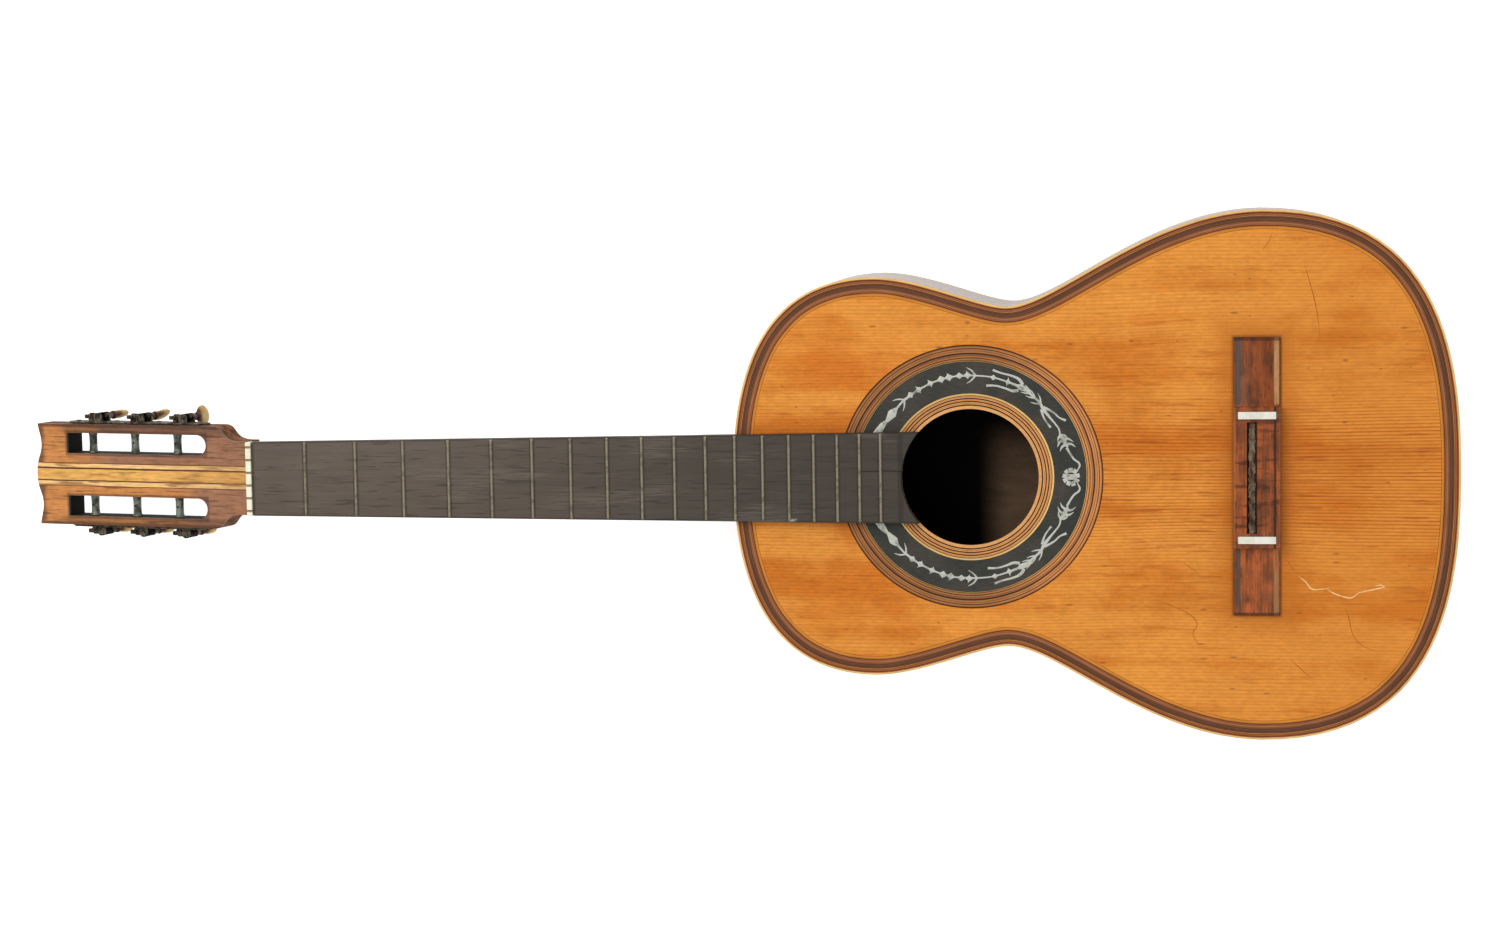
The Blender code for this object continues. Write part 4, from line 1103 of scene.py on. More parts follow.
ROLLER_STEEL = OldMetal("roller_steel", (0.27, 0.29, 0.24), (0.075, 0.082, 0.062), 0.55, 0.50, 0.45)
PLATE_METAL = OldMetal("plate_metal", (0.15, 0.125, 0.085), (0.035, 0.030, 0.022), 0.6, 0.45, 0.7)
FRET_METAL = OldMetal("fret_metal", (0.29, 0.250, 0.175), (0.17, 0.145, 0.100), 0.4, 0.50, 0.40)
VINE_METAL = OldMetal("vine_metal", (0.56, 0.57, 0.50), (0.27, 0.28, 0.235), 0.34, 0.45, 0.2, 600.0)
NUT_BONE = Bone("nut_bone", (1.0, 0.96, 0.77), (0.94, 0.85, 0.60), groove_pitch=0.00852, groove_top=0.0953)
STRIP_BONE = Bone("bridge_bone", (0.90, 0.89, 0.78), (0.78, 0.75, 0.62))
BUTTON_BONE = Bone(
    "button_bone", (0.80, 0.56, 0.22), (0.60, 0.37, 0.11), (0.11, 0.048, 0.020), 0.0026, 0.0058
)

PALE_SCRAPES = (
    ((0.3752, -0.0640), (0.3798, -0.0675), (0.3835, -0.0720), (0.3895, -0.0722), (0.3949, -0.0713)),
    ((0.3925, -0.0716), (0.3975, -0.0748), (0.4043, -0.0771), (0.4080, -0.0777), (0.4137, -0.0738)),
    ((0.4125, -0.0745), (0.4170, -0.0734), (0.4212, -0.0725), (0.4262, -0.0714), (0.4293, -0.0706)),
    ((0.4238, -0.0700), (0.4270, -0.0694), (0.4293, -0.0706)),
)
BROWN_SCRATCHES = (
    ((0.3653, -0.0508), (0.3690, -0.0552), (0.3729, -0.0611)),
    (
        (0.2840, -0.0790), (0.2962, -0.0838), (0.3085, -0.0906), (0.3112, -0.0955), (0.3085, -0.1009),
        (0.3126, -0.1092),
    ),
    ((0.4040, -0.0828), (0.4068, -0.0903), (0.4095, -0.1013), (0.4150, -0.1081), (0.4232, -0.1116)),
    ((0.3015, -0.0545), (0.3070, -0.0585), (0.3128, -0.0627)),
    ((0.3705, -0.1178), (0.3770, -0.1240), (0.3835, -0.1294)),
    ((0.3589, 0.1556), (0.3562, 0.1492), (0.3527, 0.1443)),
    ((0.3788, 0.1345), (0.3825, 0.1219), (0.3863, 0.1061), (0.3887, 0.0871)),
)
BARE_VARNISH = Scratch("bare_varnish", (0.95, 0.66, 0.32), (0.84, 0.48, 0.16))
SCRATCH_DIRT = Scratch("scratch_dirt", (0.55, 0.160, 0.017), (0.42, 0.110, 0.011))


# ---------------------------------------------------------------- body


@dataclass
class Outline:
    """The body's outline: its knots from the neck round the treble side to the tail, and copies of it."""

    neck_end: float = 0.3230
    upper_bout: tuple[float, float] = (0.4154, 0.1296)
    waist: tuple[float, float] = (0.5017, 0.1100)
    lower_bout: tuple[float, float] = (0.6639, 0.1699)
    tail: float = 0.7879
    shoulder: tuple[float, float] = (0.0626, 0.0823)
    to_waist: tuple[float, float] = (0.0290, 0.0171)
    from_waist: tuple[float, float] = (0.0319, 0.0731)
    to_tail: tuple[float, float] = (0.1183, 0.0633)
    steps: int = 26

    def sheet(self, name: str, height: float) -> Piece:
        """The whole outline as one flat face.

        Args:
            name: The piece's name.
            height: Its Z.

        Returns:
            The sheet, which other pieces are inset and extruded from.
        """
        (ux, uy), (wx, wy), (lx, ly) = self.upper_bout, self.waist, self.lower_bout
        ease_in, fall, climb, sweep = self.shoulder, self.to_waist, self.from_waist, self.to_tail
        treble = (
            ((ux - ease_in[0], uy), (ux, uy), (ux + fall[0], uy)),
            ((wx - fall[1], wy), (wx, wy), (wx + climb[0], wy)),
            ((lx - climb[1], ly), (lx, ly), (lx + sweep[0], ly)),
        )
        end, tail = self.neck_end, self.tail
        knots = [((end, -ease_in[1]), (end, 0.0), (end, ease_in[1])), *treble]
        knots.append(((tail, sweep[1]), (tail, 0.0), (tail, -sweep[1])))
        knots += [tuple((x, -y) for x, y in reversed(knot)) for knot in reversed(treble)]
        parts = ("handle_left", "co", "handle_right")
        line = [{part: (x + NUT_X, y, height) for part, (x, y) in zip(parts, knot)} for knot in knots]
        piece = from_curve(name, [line], True, resolution_u=self.steps)
        with editing(piece):
            bpy.ops.mesh.select_all(action="SELECT")
            bpy.ops.mesh.edge_face_add()
        return piece

    def band(self, name: str, low: float, high: float, outer: float, inner: float | None = None) -> Piece:
        """A plate of the body's outline, or a strip that runs along it.

        Args:
            name: The piece's name.
            low: The Z of its underside.
            high: The Z of its upper side.
            outer: How far inside the outline it starts.
            inner: How far inside the outline it ends; None makes a whole plate.

        Returns:
            The closed plate or ring.
        """
        piece = self.sheet(name, low)
        with editing(piece):
            pick(piece, Kind.FACE)
            if outer > 0.0:
                bpy.ops.mesh.inset(thickness=outer, use_even_offset=True)
                bpy.ops.mesh.select_all(action="INVERT")
                bpy.ops.mesh.delete(type="FACE")
                pick(piece, Kind.FACE)
            if inner is not None:
                bpy.ops.mesh.inset(thickness=inner - outer, use_even_offset=True)
                bpy.ops.mesh.delete(type="FACE")
            bpy.ops.mesh.select_all(action="SELECT")
            bpy.ops.mesh.delete_loose()
            pick(piece, Kind.FACE)
            grow((0.0, 0.0, high - low))
        outwards(piece)
        return piece

    def lay_run(self, *pieces: Piece) -> None:
        """Give strips a UV map: the way along the outline, and the distance inside it.

        Args:
            pieces: Finished strips, plates or ribs.
        """
        guide = self.sheet("guide", 0.0)
        line = np.array([vertex.co[:2] for vertex in guide.data.vertices])
        put_away(guide)
        line = line[line[:, 1] > -1e-9]
        line = line[np.argsort(np.arctan2(line[:, 1], line[:, 0] - line[:, 0].mean()))[::-1]]
        step = np.diff(line, axis=0)
        length = np.hypot(*step.T)
        run = np.concatenate([[0.0], np.cumsum(length)])
        for piece in pieces:
            places = np.array([vertex.co[:2] for vertex in piece.data.vertices])
            places[:, 1] = abs(places[:, 1])
            rel = places[:, None, :] - line[None, :-1, :]
            share = np.clip((rel * step).sum(2) / length**2, 0.0, 1.0)
            off = np.hypot(*np.moveaxis(rel - share[..., None] * step, 2, 0))
            near = off.argmin(1)
            rows = np.arange(len(places))
            flat = np.stack([run[near] + share[rows, near] * length[near], off[rows, near]], 1)
            layer = piece.data.uv_layers.new(name="run")
            index = np.array([loop.vertex_index for loop in piece.data.loops])
            layer.data.foreach_set("uv", flat[index].astype(np.float32).ravel())


@dataclass
class Body:
    """The hollow body: the top with its rosette seat, the back, two bent ribs and their corner strips."""

    outline: Outline
    depth: float = 0.0880
    top: float = 0.0026
    back: float = 0.0028
    rib: float = 0.0024
    binding: tuple[float, float] = (0.0020, 0.0050)
    purfling: tuple[float, float] = (0.0098, 0.0008)
    inlay_gap: float = FIT
    hole_station: float = 0.477689
    hole_radius: float = 0.0442
    rosette_radii: tuple[float, ...] = (0.0470, 0.0542, 0.0748, 0.0854)
    rosette_depth: float = 0.0008

    @property
    def hole_x(self) -> float:
        """The X of the soundhole's middle."""
        return self.hole_station + NUT_X

    @property
    def plate_inset(self) -> float:
        """How far inside the outline the top and the back start."""
        return self.binding[0] + GAP

    def disc(self, name: str, radius: float, low: float = IN_BODY, high: float = OVER_BOARD) -> Piece:
        """A round cutter about the soundhole's middle."""
        return add_rod(name, radius, (self.hole_x, 0.0, low), (self.hole_x, 0.0, high), 160)

    def make_top(self, bridge: "Bridge") -> None:
        """The spruce top, rebated for the purfling and the rosette and pierced by the soundhole.

        Args:
            bridge: The bridge, whose place the finish needs.
        """
        board = self.outline.band("soundboard_top", self.depth - self.top, self.depth, self.plate_inset)
        above = self.depth + CLEAR
        inner = self.plate_inset + self.purfling[0] + self.inlay_gap
        floor = self.depth - self.purfling[1] - self.inlay_gap
        rebate = self.outline.band("rebate", floor, above, 0.0, inner)
        floor = self.depth - self.rosette_depth - self.inlay_gap
        seat = self.disc("seat", self.rosette_radii[-1] + self.inlay_gap, floor, above)
        carve(seat, self.disc("land", self.rosette_radii[0] - self.inlay_gap, 0.0))
        carve(board, rebate, seat, self.disc("hole", self.hole_radius))
        half = (bridge.width / 2, bridge.length / 2)
        finish = SpruceTop(
            "spruce_top",
            hole_x=self.hole_x,
            hole_radius=self.hole_radius,
            lip_width=self.rosette_radii[0] - self.hole_radius,
            bridge_at=(bridge.x, 0.0),
            bridge_half=half,
        )
        hand_over(board, finish, "spruce_top", "soundboard")

    def make_shell(self) -> None:
        """The back, the ribs, the bindings and the purfling."""
        wide, tall = self.binding
        edge, top = self.plate_inset, self.depth
        back = self.outline.band("back", 0.0, self.back, edge)
        hand_over(back, ROSEWOOD_BACK, "rosewood_body", "back_plate")
        purfling, thin = self.purfling
        strips = (
            ("binding_top", BINDING, "light_binding", top - tall, top, 0.0, wide),
            ("binding_back", BINDING, "light_binding", 0.0, tall, 0.0, wide),
            ("purfling", PURFLING, "purfling_wood", top - thin, top, edge, edge + purfling),
        )
        nodes = ("top_binding", "back_binding", "top_purfling")
        for (name, finish, slot, *sizes), node in zip(strips, nodes):
            strip = self.outline.band(name, *sizes)
            if finish is BINDING:
                ease(strip, WORN_EDGE, 3)
            self.outline.lay_run(strip)
            hand_over(strip, finish, slot, node)
        for side in Side:
            rib = self.outline.band(f"rib_skin_{side.label}", tall + GAP, top - tall - GAP, 0.0, self.rib)
            keep_below(rib, (0.0, side.value * GAP / 2, 0.0), (0.0, -side.value, 0.0))
            self.outline.lay_run(rib)
            hand_over(rib, ROSEWOOD_RIBS, "rosewood_body", f"rib_{side.label}")

    def make_scratches(self) -> None:
        """A pale squiggle of scraped varnish and dirt-filled scratches, as thin raised lines."""
        kinds = (
            ("pale_scrape", BARE_VARNISH, PALE_SCRAPES, 0.00036),
            ("brown_scratch", SCRATCH_DIRT, BROWN_SCRATCHES, 0.00032),
        )
        for name, finish, traces, half in kinds:
            lines = []
            for trace in traces:
                halves = [half * (0.35 if place in (trace[0], trace[-1]) else 1.0) for place in trace]
                lines.append([((x, y, self.depth), wide) for (x, y), wide in zip(trace, halves)])
            hand_over(inlay(name, lines, self.depth, 0.00004), finish, "spruce_top", angle=60.0)

    def dress_inside(self) -> None:
        """Give the braces, linings and blocks, which show only through the soundhole, their wood, darkened
        with painted shade to nearly black.
        """
        for name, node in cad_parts.items():
            if name.startswith(("harmonic_bar", "fan_strut", "back_bar")):
                finish = SHADED_BRACE_WOOD
            elif name.endswith(("_lining", "_block")):
                finish = SHADED_BLOCK_WOOD
            else:
                continue
            node.data.materials.clear()
            node.data.materials.append(finish.material())
            log.info("%s: dressed as %s", name, finish.name)

    def build(self, bridge: "Bridge") -> None:
        """Make the whole body.

        Args:
            bridge: The bridge that stands on the top.
        """
        self.make_top(bridge)
        self.make_shell()
        self.make_scratches()
        self.dress_inside()


# ---------------------------------------------------------------- rosette


Stroke = tuple[tuple[float, float, float], ...]


def inlay(name: str, lines: Sequence[Sequence[tuple[Point, float]]], height: float, relief: float) -> Piece:
    """Turn tapering lines into one low raised mesh.

    Args:
        name: The piece's name.
        lines: Lines of points with their half widths.
        height: The Z of the surface they lie on.
        relief: How far they stand over it.

    Returns:
        The mesh.
    """
    unit = 0.001
    handles = {"handle_left_type": "AUTO", "handle_right_type": "AUTO"}
    drawn = [[{"co": place, "radius": half / unit, **handles} for place, half in line] for line in lines]
    round_bar = {"bevel_depth": unit, "bevel_resolution": 1, "resolution_u": 4, "use_fill_caps": True}
    piece = from_curve(name, drawn, False, **round_bar)
    with editing(piece):
        bpy.ops.mesh.select_all(action="SELECT")
        stretch((1.0, 1.0, relief / unit), (0.0, 0.0, height))
    outwards(piece)
    return piece


@dataclass
class Rosette:
    """Three rings round the soundhole, the middle one inlaid with a metal vine, the same on both sides.

    A stroke of the vine is a row of points: degrees round the ring from the tail side, a share of the
    ring's half width, and the stroke's own half width as a share of the vine's boldness.
    """

    body: Body
    relief: float = 0.00012
    boldness: float = 0.00112

    def ring(self, name: str, inner: float, outer: float) -> Piece:
        """One flat ring.

        Args:
            name: The piece's name.
            inner: Its inner radius.
            outer: Its outer radius.

        Returns:
            The closed ring.
        """
        body = self.body
        low = body.depth - body.rosette_depth
        centre = (body.hole_x, 0.0, low)
        bpy.ops.mesh.primitive_circle_add(vertices=192, radius=inner, fill_type="NOTHING", location=centre)
        piece = named(name)
        with editing(piece):
            pick(piece, Kind.EDGE)
            bpy.ops.mesh.extrude_edges_move(TRANSFORM_OT_translate={"value": (0.0, 0.0, 0.0)})
            stretch((outer / inner, outer / inner, 1.0), centre)
            pick(piece, Kind.FACE)
            grow((0.0, 0.0, body.rosette_depth))
        outwards(piece)
        return piece

    def place(self, turn: float, share: float, side: Side) -> Vector:
        """A point on the black ring.

        Args:
            turn: Degrees from the tail side.
            share: -1 at the ring's inner edge, 1 at its outer edge.
            side: Which half it is on.

        Returns:
            The point, on the top's surface.
        """
        inner, outer = self.body.rosette_radii[1:3]
        radius = (inner + outer) / 2 + share * (outer - inner) / 2
        angle = math.radians(turn)
        x = self.body.hole_x + radius * math.cos(angle)
        return Vector((x, side.value * radius * math.sin(angle), self.body.depth))

    def leaf(self, turn: float, share: float, length: float, lean: float) -> list[Stroke]:
        """A cut leaf: a rib with three pairs of pointed lobes.

        Args:
            turn: Degrees of its foot.
            share: Where its foot is across the ring.
            length: Degrees that it runs over.
            lean: How far its tip moves across the ring.

        Returns:
            Its strokes.
        """
        tip = (turn + length, share + lean)
        strokes = [((turn, share, 0.4), (turn + length / 2, share + lean / 2, 1.5), (*tip, 0.5))]
        for row, reach in ((0.15, 0.34), (0.45, 0.52), (0.78, 0.50)):
            foot, at = turn + length * row, share + lean * row
            for side in (reach, -reach):
                bend = (foot + length * 0.10, at + side * 0.6, 0.62)
                strokes.append(((foot, at, 0.9), bend, (foot + length * 0.34, at + side, 0.12)))
        return strokes

    def beads(self, start: float, end: float, share: float, count: int, size: float) -> list[Stroke]:
        """A row of pointed beads, every other one with a thorn.

        Args:
            start: Degrees of the first bead.
            end: Degrees of the last bead.
            share: Where the row runs across the ring.
            count: How many beads there are.
            size: Their half width as a share of the vine's boldness.

        Returns:
            Their strokes.
        """
        strokes = []
        for i in range(count):
            turn = start + (end - start) * i / max(count - 1, 1)
            half = 1.1 * size
            row = ((-half, 0.3), (-half / 2, 0.55 * size), (0.0, size), (half / 2, 0.55 * size), (half, 0.3))
            strokes.append(tuple((turn + off, share, thick) for off, thick in row))
            if i % 2 == 0:
                strokes.append(
                    ((turn, share - 0.24, 0.15), (turn, share, 0.6), (turn + 0.6, share + 0.28, 0.15))
                )
        return strokes

    def spurs(self, turn: float, share: float, reach: float) -> list[Stroke]:
        """A pair of curved thorns across the stem.

        Args:
            turn: Degrees of the pair.
            share: Where the stem runs across the ring.
            reach: How far the thorns stand out across the ring.

        Returns:
            Their strokes.
        """
        foot = (turn - 1.0, share, 0.55)
        tips = (reach, -reach)
        return [(foot, (turn + 1.2, share + r * 0.6, 0.42), (turn + 4.0, share + r, 0.15)) for r in tips]

    def pattern(self) -> list[Stroke]:
        """The vine's strokes from the flower at the tail side to the fingerboard.

        Returns:
            All the strokes of one half.
        """
        strokes = [
            ((3.5, 0.45, 0.3), (6.5, 0.62, 0.55), (10.0, 0.30, 0.55), (14.0, 0.12, 0.6), (17.0, 0.05, 0.7)),
            ((24.0, -0.10, 0.5), (28.0, 0.05, 0.45), (32.5, 0.02, 0.5), (36.0, -0.02, 0.6), (43.0, 0.0, 1.0)),
            ((43.5, 0.10, 0.8), (38.0, 0.34, 0.5), (33.5, 0.46, 0.45), (30.6, 0.70, 0.75)),
            ((43.5, -0.10, 0.8), (39.0, -0.32, 0.5), (34.5, -0.36, 0.42), (31.6, -0.33, 0.7)),
            ((43.0, 0.0, 0.9), (47.0, 0.14, 0.75), (52.0, 0.16, 0.6), (57.0, 0.26, 0.9)),
            ((57.0, 0.26, 1.3), (60.5, 0.22, 1.7), (62.5, 0.20, 0.9)),
            ((60.0, 0.42, 0.9), (63.0, 0.60, 0.85), (67.0, 0.62, 0.6), (73.0, 0.56, 0.5), (77.6, 0.62, 0.65)),
            (
                (60.5, -0.02, 0.9), (63.5, -0.22, 0.8), (68.0, -0.26, 0.6), (74.0, -0.30, 0.5),
                (79.6, -0.42, 0.7),
            ),
            ((61.0, 0.22, 0.8), (69.0, 0.17, 0.5), (78.0, 0.16, 0.4), (87.0, 0.13, 0.45)),
            ((87.0, 0.13, 0.5), (102.0, 0.14, 0.45), (119.0, 0.10, 0.5), (131.0, 0.10, 0.7)),
            ((131.0, 0.10, 0.5), (136.0, 0.05, 0.6), (140.5, 0.04, 2.6), (146.0, 0.02, 0.9)),
            ((145.0, 0.02, 0.5), (149.0, 0.12, 1.7), (156.0, 0.20, 2.4)),
            *self.leaf(26.0, -0.04, -9.0, 0.16),
        ]
        thorns = (
            (47.0, 0.14, 0.36), (51.5, 0.16, 0.24), (55.0, 0.22, 0.26), (87.5, 0.13, 0.50),
            (131.0, 0.10, 0.46),
        )
        for thorn in thorns:
            strokes += self.spurs(*thorn)
        rows = (
            (68.0, 76.5, 0.165, 2, 1.6), (91.0, 95.5, 0.14, 2, 1.9), (101.5, 106.0, 0.14, 2, 2.1),
            (112.5, 112.5, 0.12, 1, 1.8), (120.0, 125.5, 0.10, 2, 1.9),
        )
        for row in rows:
            strokes += self.beads(*row)
        return strokes

    def flower(self) -> list[Stroke]:
        """The round flower on the centre line, drawn once for both sides.

        Returns:
            The strokes of its middle and its petals.
        """
        share, petals = 0.04, 9
        strokes = [((-1.6, share, 2.4), (1.6, share, 2.4))]
        for i in range(petals):
            angle = math.tau * i / petals
            turn, reach = 5.2 * math.cos(angle), 0.54 * math.sin(angle)
            strokes.append(((turn * 0.5, share + reach * 0.5, 1.1), (turn, share + reach, 1.25)))
        return strokes

    def draw(self, name: str, strokes: Sequence[Stroke], side: Side) -> Piece:
        """Turn strokes into flat raised metal.

        Args:
            name: The piece's name.
            strokes: What is drawn.
            side: Which half of the ring it is drawn on.

        Returns:
            One mesh.
        """
        lines = [
            [(self.place(turn, share, side), thick * self.boldness) for turn, share, thick in stroke]
            for stroke in strokes
        ]
        return inlay(name, lines, self.body.depth, self.relief)

    def build(self) -> None:
        """Make the three rings and the vine."""
        radii = self.body.rosette_radii
        gap = self.body.inlay_gap / 2
        tan, pale = (0.70, 0.30, 0.090), (0.82, 0.375, 0.115)
        inner = (
            (46.0, pale), (47.7, BROWN), (48.0, pale), (48.6, SOOT), (49.4, tan), (50.5, SOOT), (51.3, pale),
            (51.9, BROWN), (52.1, pale), (52.5, SOOT), (52.95, CREAM), (54.1, BROWN),
        )
        orange, rust, red = (0.66, 0.265, 0.080), (0.46, 0.170, 0.056), (0.37, 0.120, 0.038)
        outer = (
            (74.0, CREAM), (75.2, SOOT), (75.65, orange), (76.8, SOOT), (77.3, orange), (78.3, BROWN),
            (78.6, rust), (79.4, SOOT), (80.4, orange), (81.5, BROWN), (81.8, orange), (82.8, SOOT),
            (83.3, orange), (84.3, red), (84.8, SOOT),
        )
        rings = (
            ("inner_ring", RingStrips("rosette_inner_lines", self.body.hole_x, inner, 55.0), "rosette_lines"),
            ("black_ring", BlackMastic("rosette_black"), "rosette_black"),
            ("outer_ring", RingStrips("rosette_outer_lines", self.body.hole_x, outer, 86.0), "rosette_wood"),
        )
        for (name, finish, slot), low, high in zip(rings, radii, radii[1:]):
            ring = self.ring(f"rosette_{name}_fine", low + gap, high - gap)
            hand_over(ring, finish, slot, f"rosette_{name}")
        vines = [(f"rosette_vine_{side.label}", self.pattern(), side) for side in Side]
        for name, strokes, side in (*vines, ("rosette_flower", self.flower(), Side.TREBLE)):
            hand_over(self.draw(name, strokes, side), VINE_METAL, "rosette_black", angle=50.0)


# ---------------------------------------------------------------- neck


@dataclass(frozen=True)
class BoardWood(Finish):
    """Worn grey-brown ebony: pores along X, lighter between the frets, and a crack at the end."""

    crack_from: float = 0.0
    crack_to: float = 0.0
    scale_length: float = 0.65
    at_nut: float = 0.05
    taper: float = 0.02

    def beside_frets(self, paint: Paint) -> Socket:
        """A mask of the dirt along both sides of each fret, from the frets' equal temperament."""
        left = 1.0 - (paint.x - NUT_X) / self.scale_length
        number = paint.math("LOGARITHM", left, 0.5) * 12.0
        off = abs(paint.math("FRACT", number + 0.5) - 0.5)
        return (off * left * (self.scale_length * math.log(2.0) / 12.0)).rise(0.0024, 0.0011)

    def paint_on(self, paint: Paint) -> bpy.types.Material:
        """Grain, wear, dirt and the crack."""
        fine = paint.noise((45.0, 1400.0, 700.0), 3.0)
        streak = paint.noise((8.0, 240.0, 120.0), 2.0, seed=5.0)
        patch = paint.noise((45.0, 70.0, 40.0), 3.0, seed=2.0)
        pale, dark = (0.128, 0.099, 0.077), (0.068, 0.056, 0.045)
        towards_body = paint.x.rise(NUT_X, NUT_X + 0.42)
        colour = paint.blend(towards_body, pale, dark)
        colour = paint.scaled(colour, 0.55 + 0.34 * streak + 0.30 * patch + 0.26 * fine)
        dashes = paint.noise((42.0, 620.0, 300.0), 3.0, seed=11.0).rise(0.58, 0.68)
        side = abs(paint.y) - (paint.x - NUT_X) * (self.taper / 2) - self.at_nut / 2
        dirt = self.beside_frets(paint) * 0.55 | side.rise(-0.0016, -0.0006) * 0.6
        rubbed = paint.noise((16.0, 60.0, 40.0), 3.0, seed=19.0).rise(0.52, 0.66) * fine.rise(0.44, 0.60)
        chip = paint.mark((0.0486, -0.0272), (0.0540, -0.0275), 0.0018)
        sway = 0.0012 * (paint.noise((60.0, 0.0, 0.0), 2.0, seed=7.0) - 0.5)
        reach = paint.x.band(self.crack_from, self.crack_to, 0.002) * paint.z.rise(0.0930, 0.0938)
        crack = abs(paint.y - 0.0045 + sway).rise(0.00040, 0.00018) * reach
        colour = paint.over(
            colour,
            (dashes * 0.5, (0.032, 0.026, 0.022)),
            (dirt * (0.5 + patch), (0.030, 0.025, 0.020)),
            (rubbed * 0.35, (0.20, 0.165, 0.135)),
            (chip * fine.rise(0.45, 0.55), (0.55, 0.50, 0.42)),
            (crack * 0.9, (0.018, 0.013, 0.010)),
        )
        return paint.surface(colour, 0.46 + 0.2 * patch, paint.bump(fine - crack, 0.00005), coat=0.05)


@dataclass
class Fingerboard:
    """The tapered board with its eighteen frets and the bone nut at its end."""

    body: Body
    scale_length: float = 0.650
    count: int = 18
    at_nut: float = 0.0492
    taper: float = 0.0225
    thickness: float = 0.0057
    fret: tuple[float, float, float] = (0.0018, 0.0010, 0.0005)
    fret_inset: float = 0.0006
    nut_width: float = 0.0037
    nut_rise: float = 0.0013
    string_spread: float = 0.0426
    fret_slope: float = 0.0007
    crack_from: float = 0.0956
    nut_slots: tuple[float, float] = (0.00062, 0.00075)

    @property
    def low(self) -> float:
        """The Z of the board's underside."""
        return self.body.depth + GAP

    @property
    def high(self) -> float:
        """The Z of its playing face."""
        return self.low + self.thickness

    def half(self, station: float) -> float:
        """Half the board's width at a station."""
        return (self.at_nut + self.taper * station) / 2

    def make_board(self) -> None:
        """The board, hollowed at its end to follow the soundhole."""
        radius = self.body.hole_radius
        reach = math.asin(self.half(self.body.hole_station - radius) / radius)
        end = self.body.hole_station - radius * math.cos(reach)
        low, high = (NUT_X, -self.half(0.0), self.low), (NUT_X + end, self.half(0.0), self.high)
        board = add_box("board", low, high)
        with editing(board):
            pick(board, Kind.FACE, lambda face: face.normal.x > 0.9)
            stretch((1.0, self.half(end) / self.half(0.0), 1.0), (high[0], 0.0, high[2]))
        ease(carve(board, self.body.disc("end_hollow", radius)), WORN_EDGE, 3)
        crack_to = NUT_X + end + 0.02
        finish = BoardWood(
            "board_ebony", self.crack_from, crack_to, self.scale_length, self.at_nut, self.taper
        )
        hand_over(board, finish, "fingerboard_wood", "fingerboard")

    def make_frets(self) -> None:
        """One crowned fret with sloped ends, copied to each of its places."""
        wide, tall, sunk = self.fret
        first = add_box("fret_blank", (-wide / 2, -0.5, -sunk), (wide / 2, 0.5, tall))
        with editing(first):
            pick(first, Kind.EDGE, lambda edge: middle(edge).z > tall / 2 and abs(middle(edge).x) > 1e-5)
            bpy.ops.mesh.bevel(offset=wide * 0.42, segments=4, profile=0.55)
        for number in range(1, self.count + 1):
            station = self.scale_length * (1.0 - 2.0 ** (-number / 12.0))
            half = self.half(station) - self.fret_inset
            place = Matrix.Translation((NUT_X + station, 0.0, self.high))
            fret = copy_of(first, f"fret_{number}", place @ Matrix.Diagonal((1.0, 2 * half, 1.0, 1.0)))
            with editing(fret):
                for sign in (1.0, -1.0):
                    pick(fret, Kind.VERT, lambda v: v.co.y * sign > 0.0 and v.co.z > self.high + 0.0004)
                    shift((0.0, -sign * self.fret_slope, 0.0))
            hand_over(fret, FRET_METAL, "fingerboard_wood", "fingerboard")
        put_away(first)

    def make_nut(self) -> None:
        """The nut with its round-bottomed string slots, a little wider on the bass side."""
        top, outer, half = self.high + self.nut_rise, NUT_X - GAP, self.at_nut / 2
        inner = outer - self.nut_width
        nut = ease(add_box("nut_bone", (inner, -half, self.low), (outer, half, top)), 0.0005, 3)
        for i, y in enumerate(string_places(self.string_spread)):
            radius = self.nut_slots[0 if i < STRINGS / 2 else 1]
            start, end = (inner - 0.002, y, top - 0.0004), (outer + 0.002, y, top - 0.0001)
            slot = add_rod(f"slot_{i}", radius, start, end, 16)
            with editing(slot):
                pick(slot, Kind.VERT, lambda v: v.co.z > top - 0.0003)
                shift((0.0, 0.0, 0.003))
            carve(nut, slot)
        hand_over(nut, NUT_BONE, "aged_bone", "nut")

    def build(self) -> None:
        """Make the board, the frets and the nut."""
        self.make_board()
        self.make_frets()
        self.make_nut()


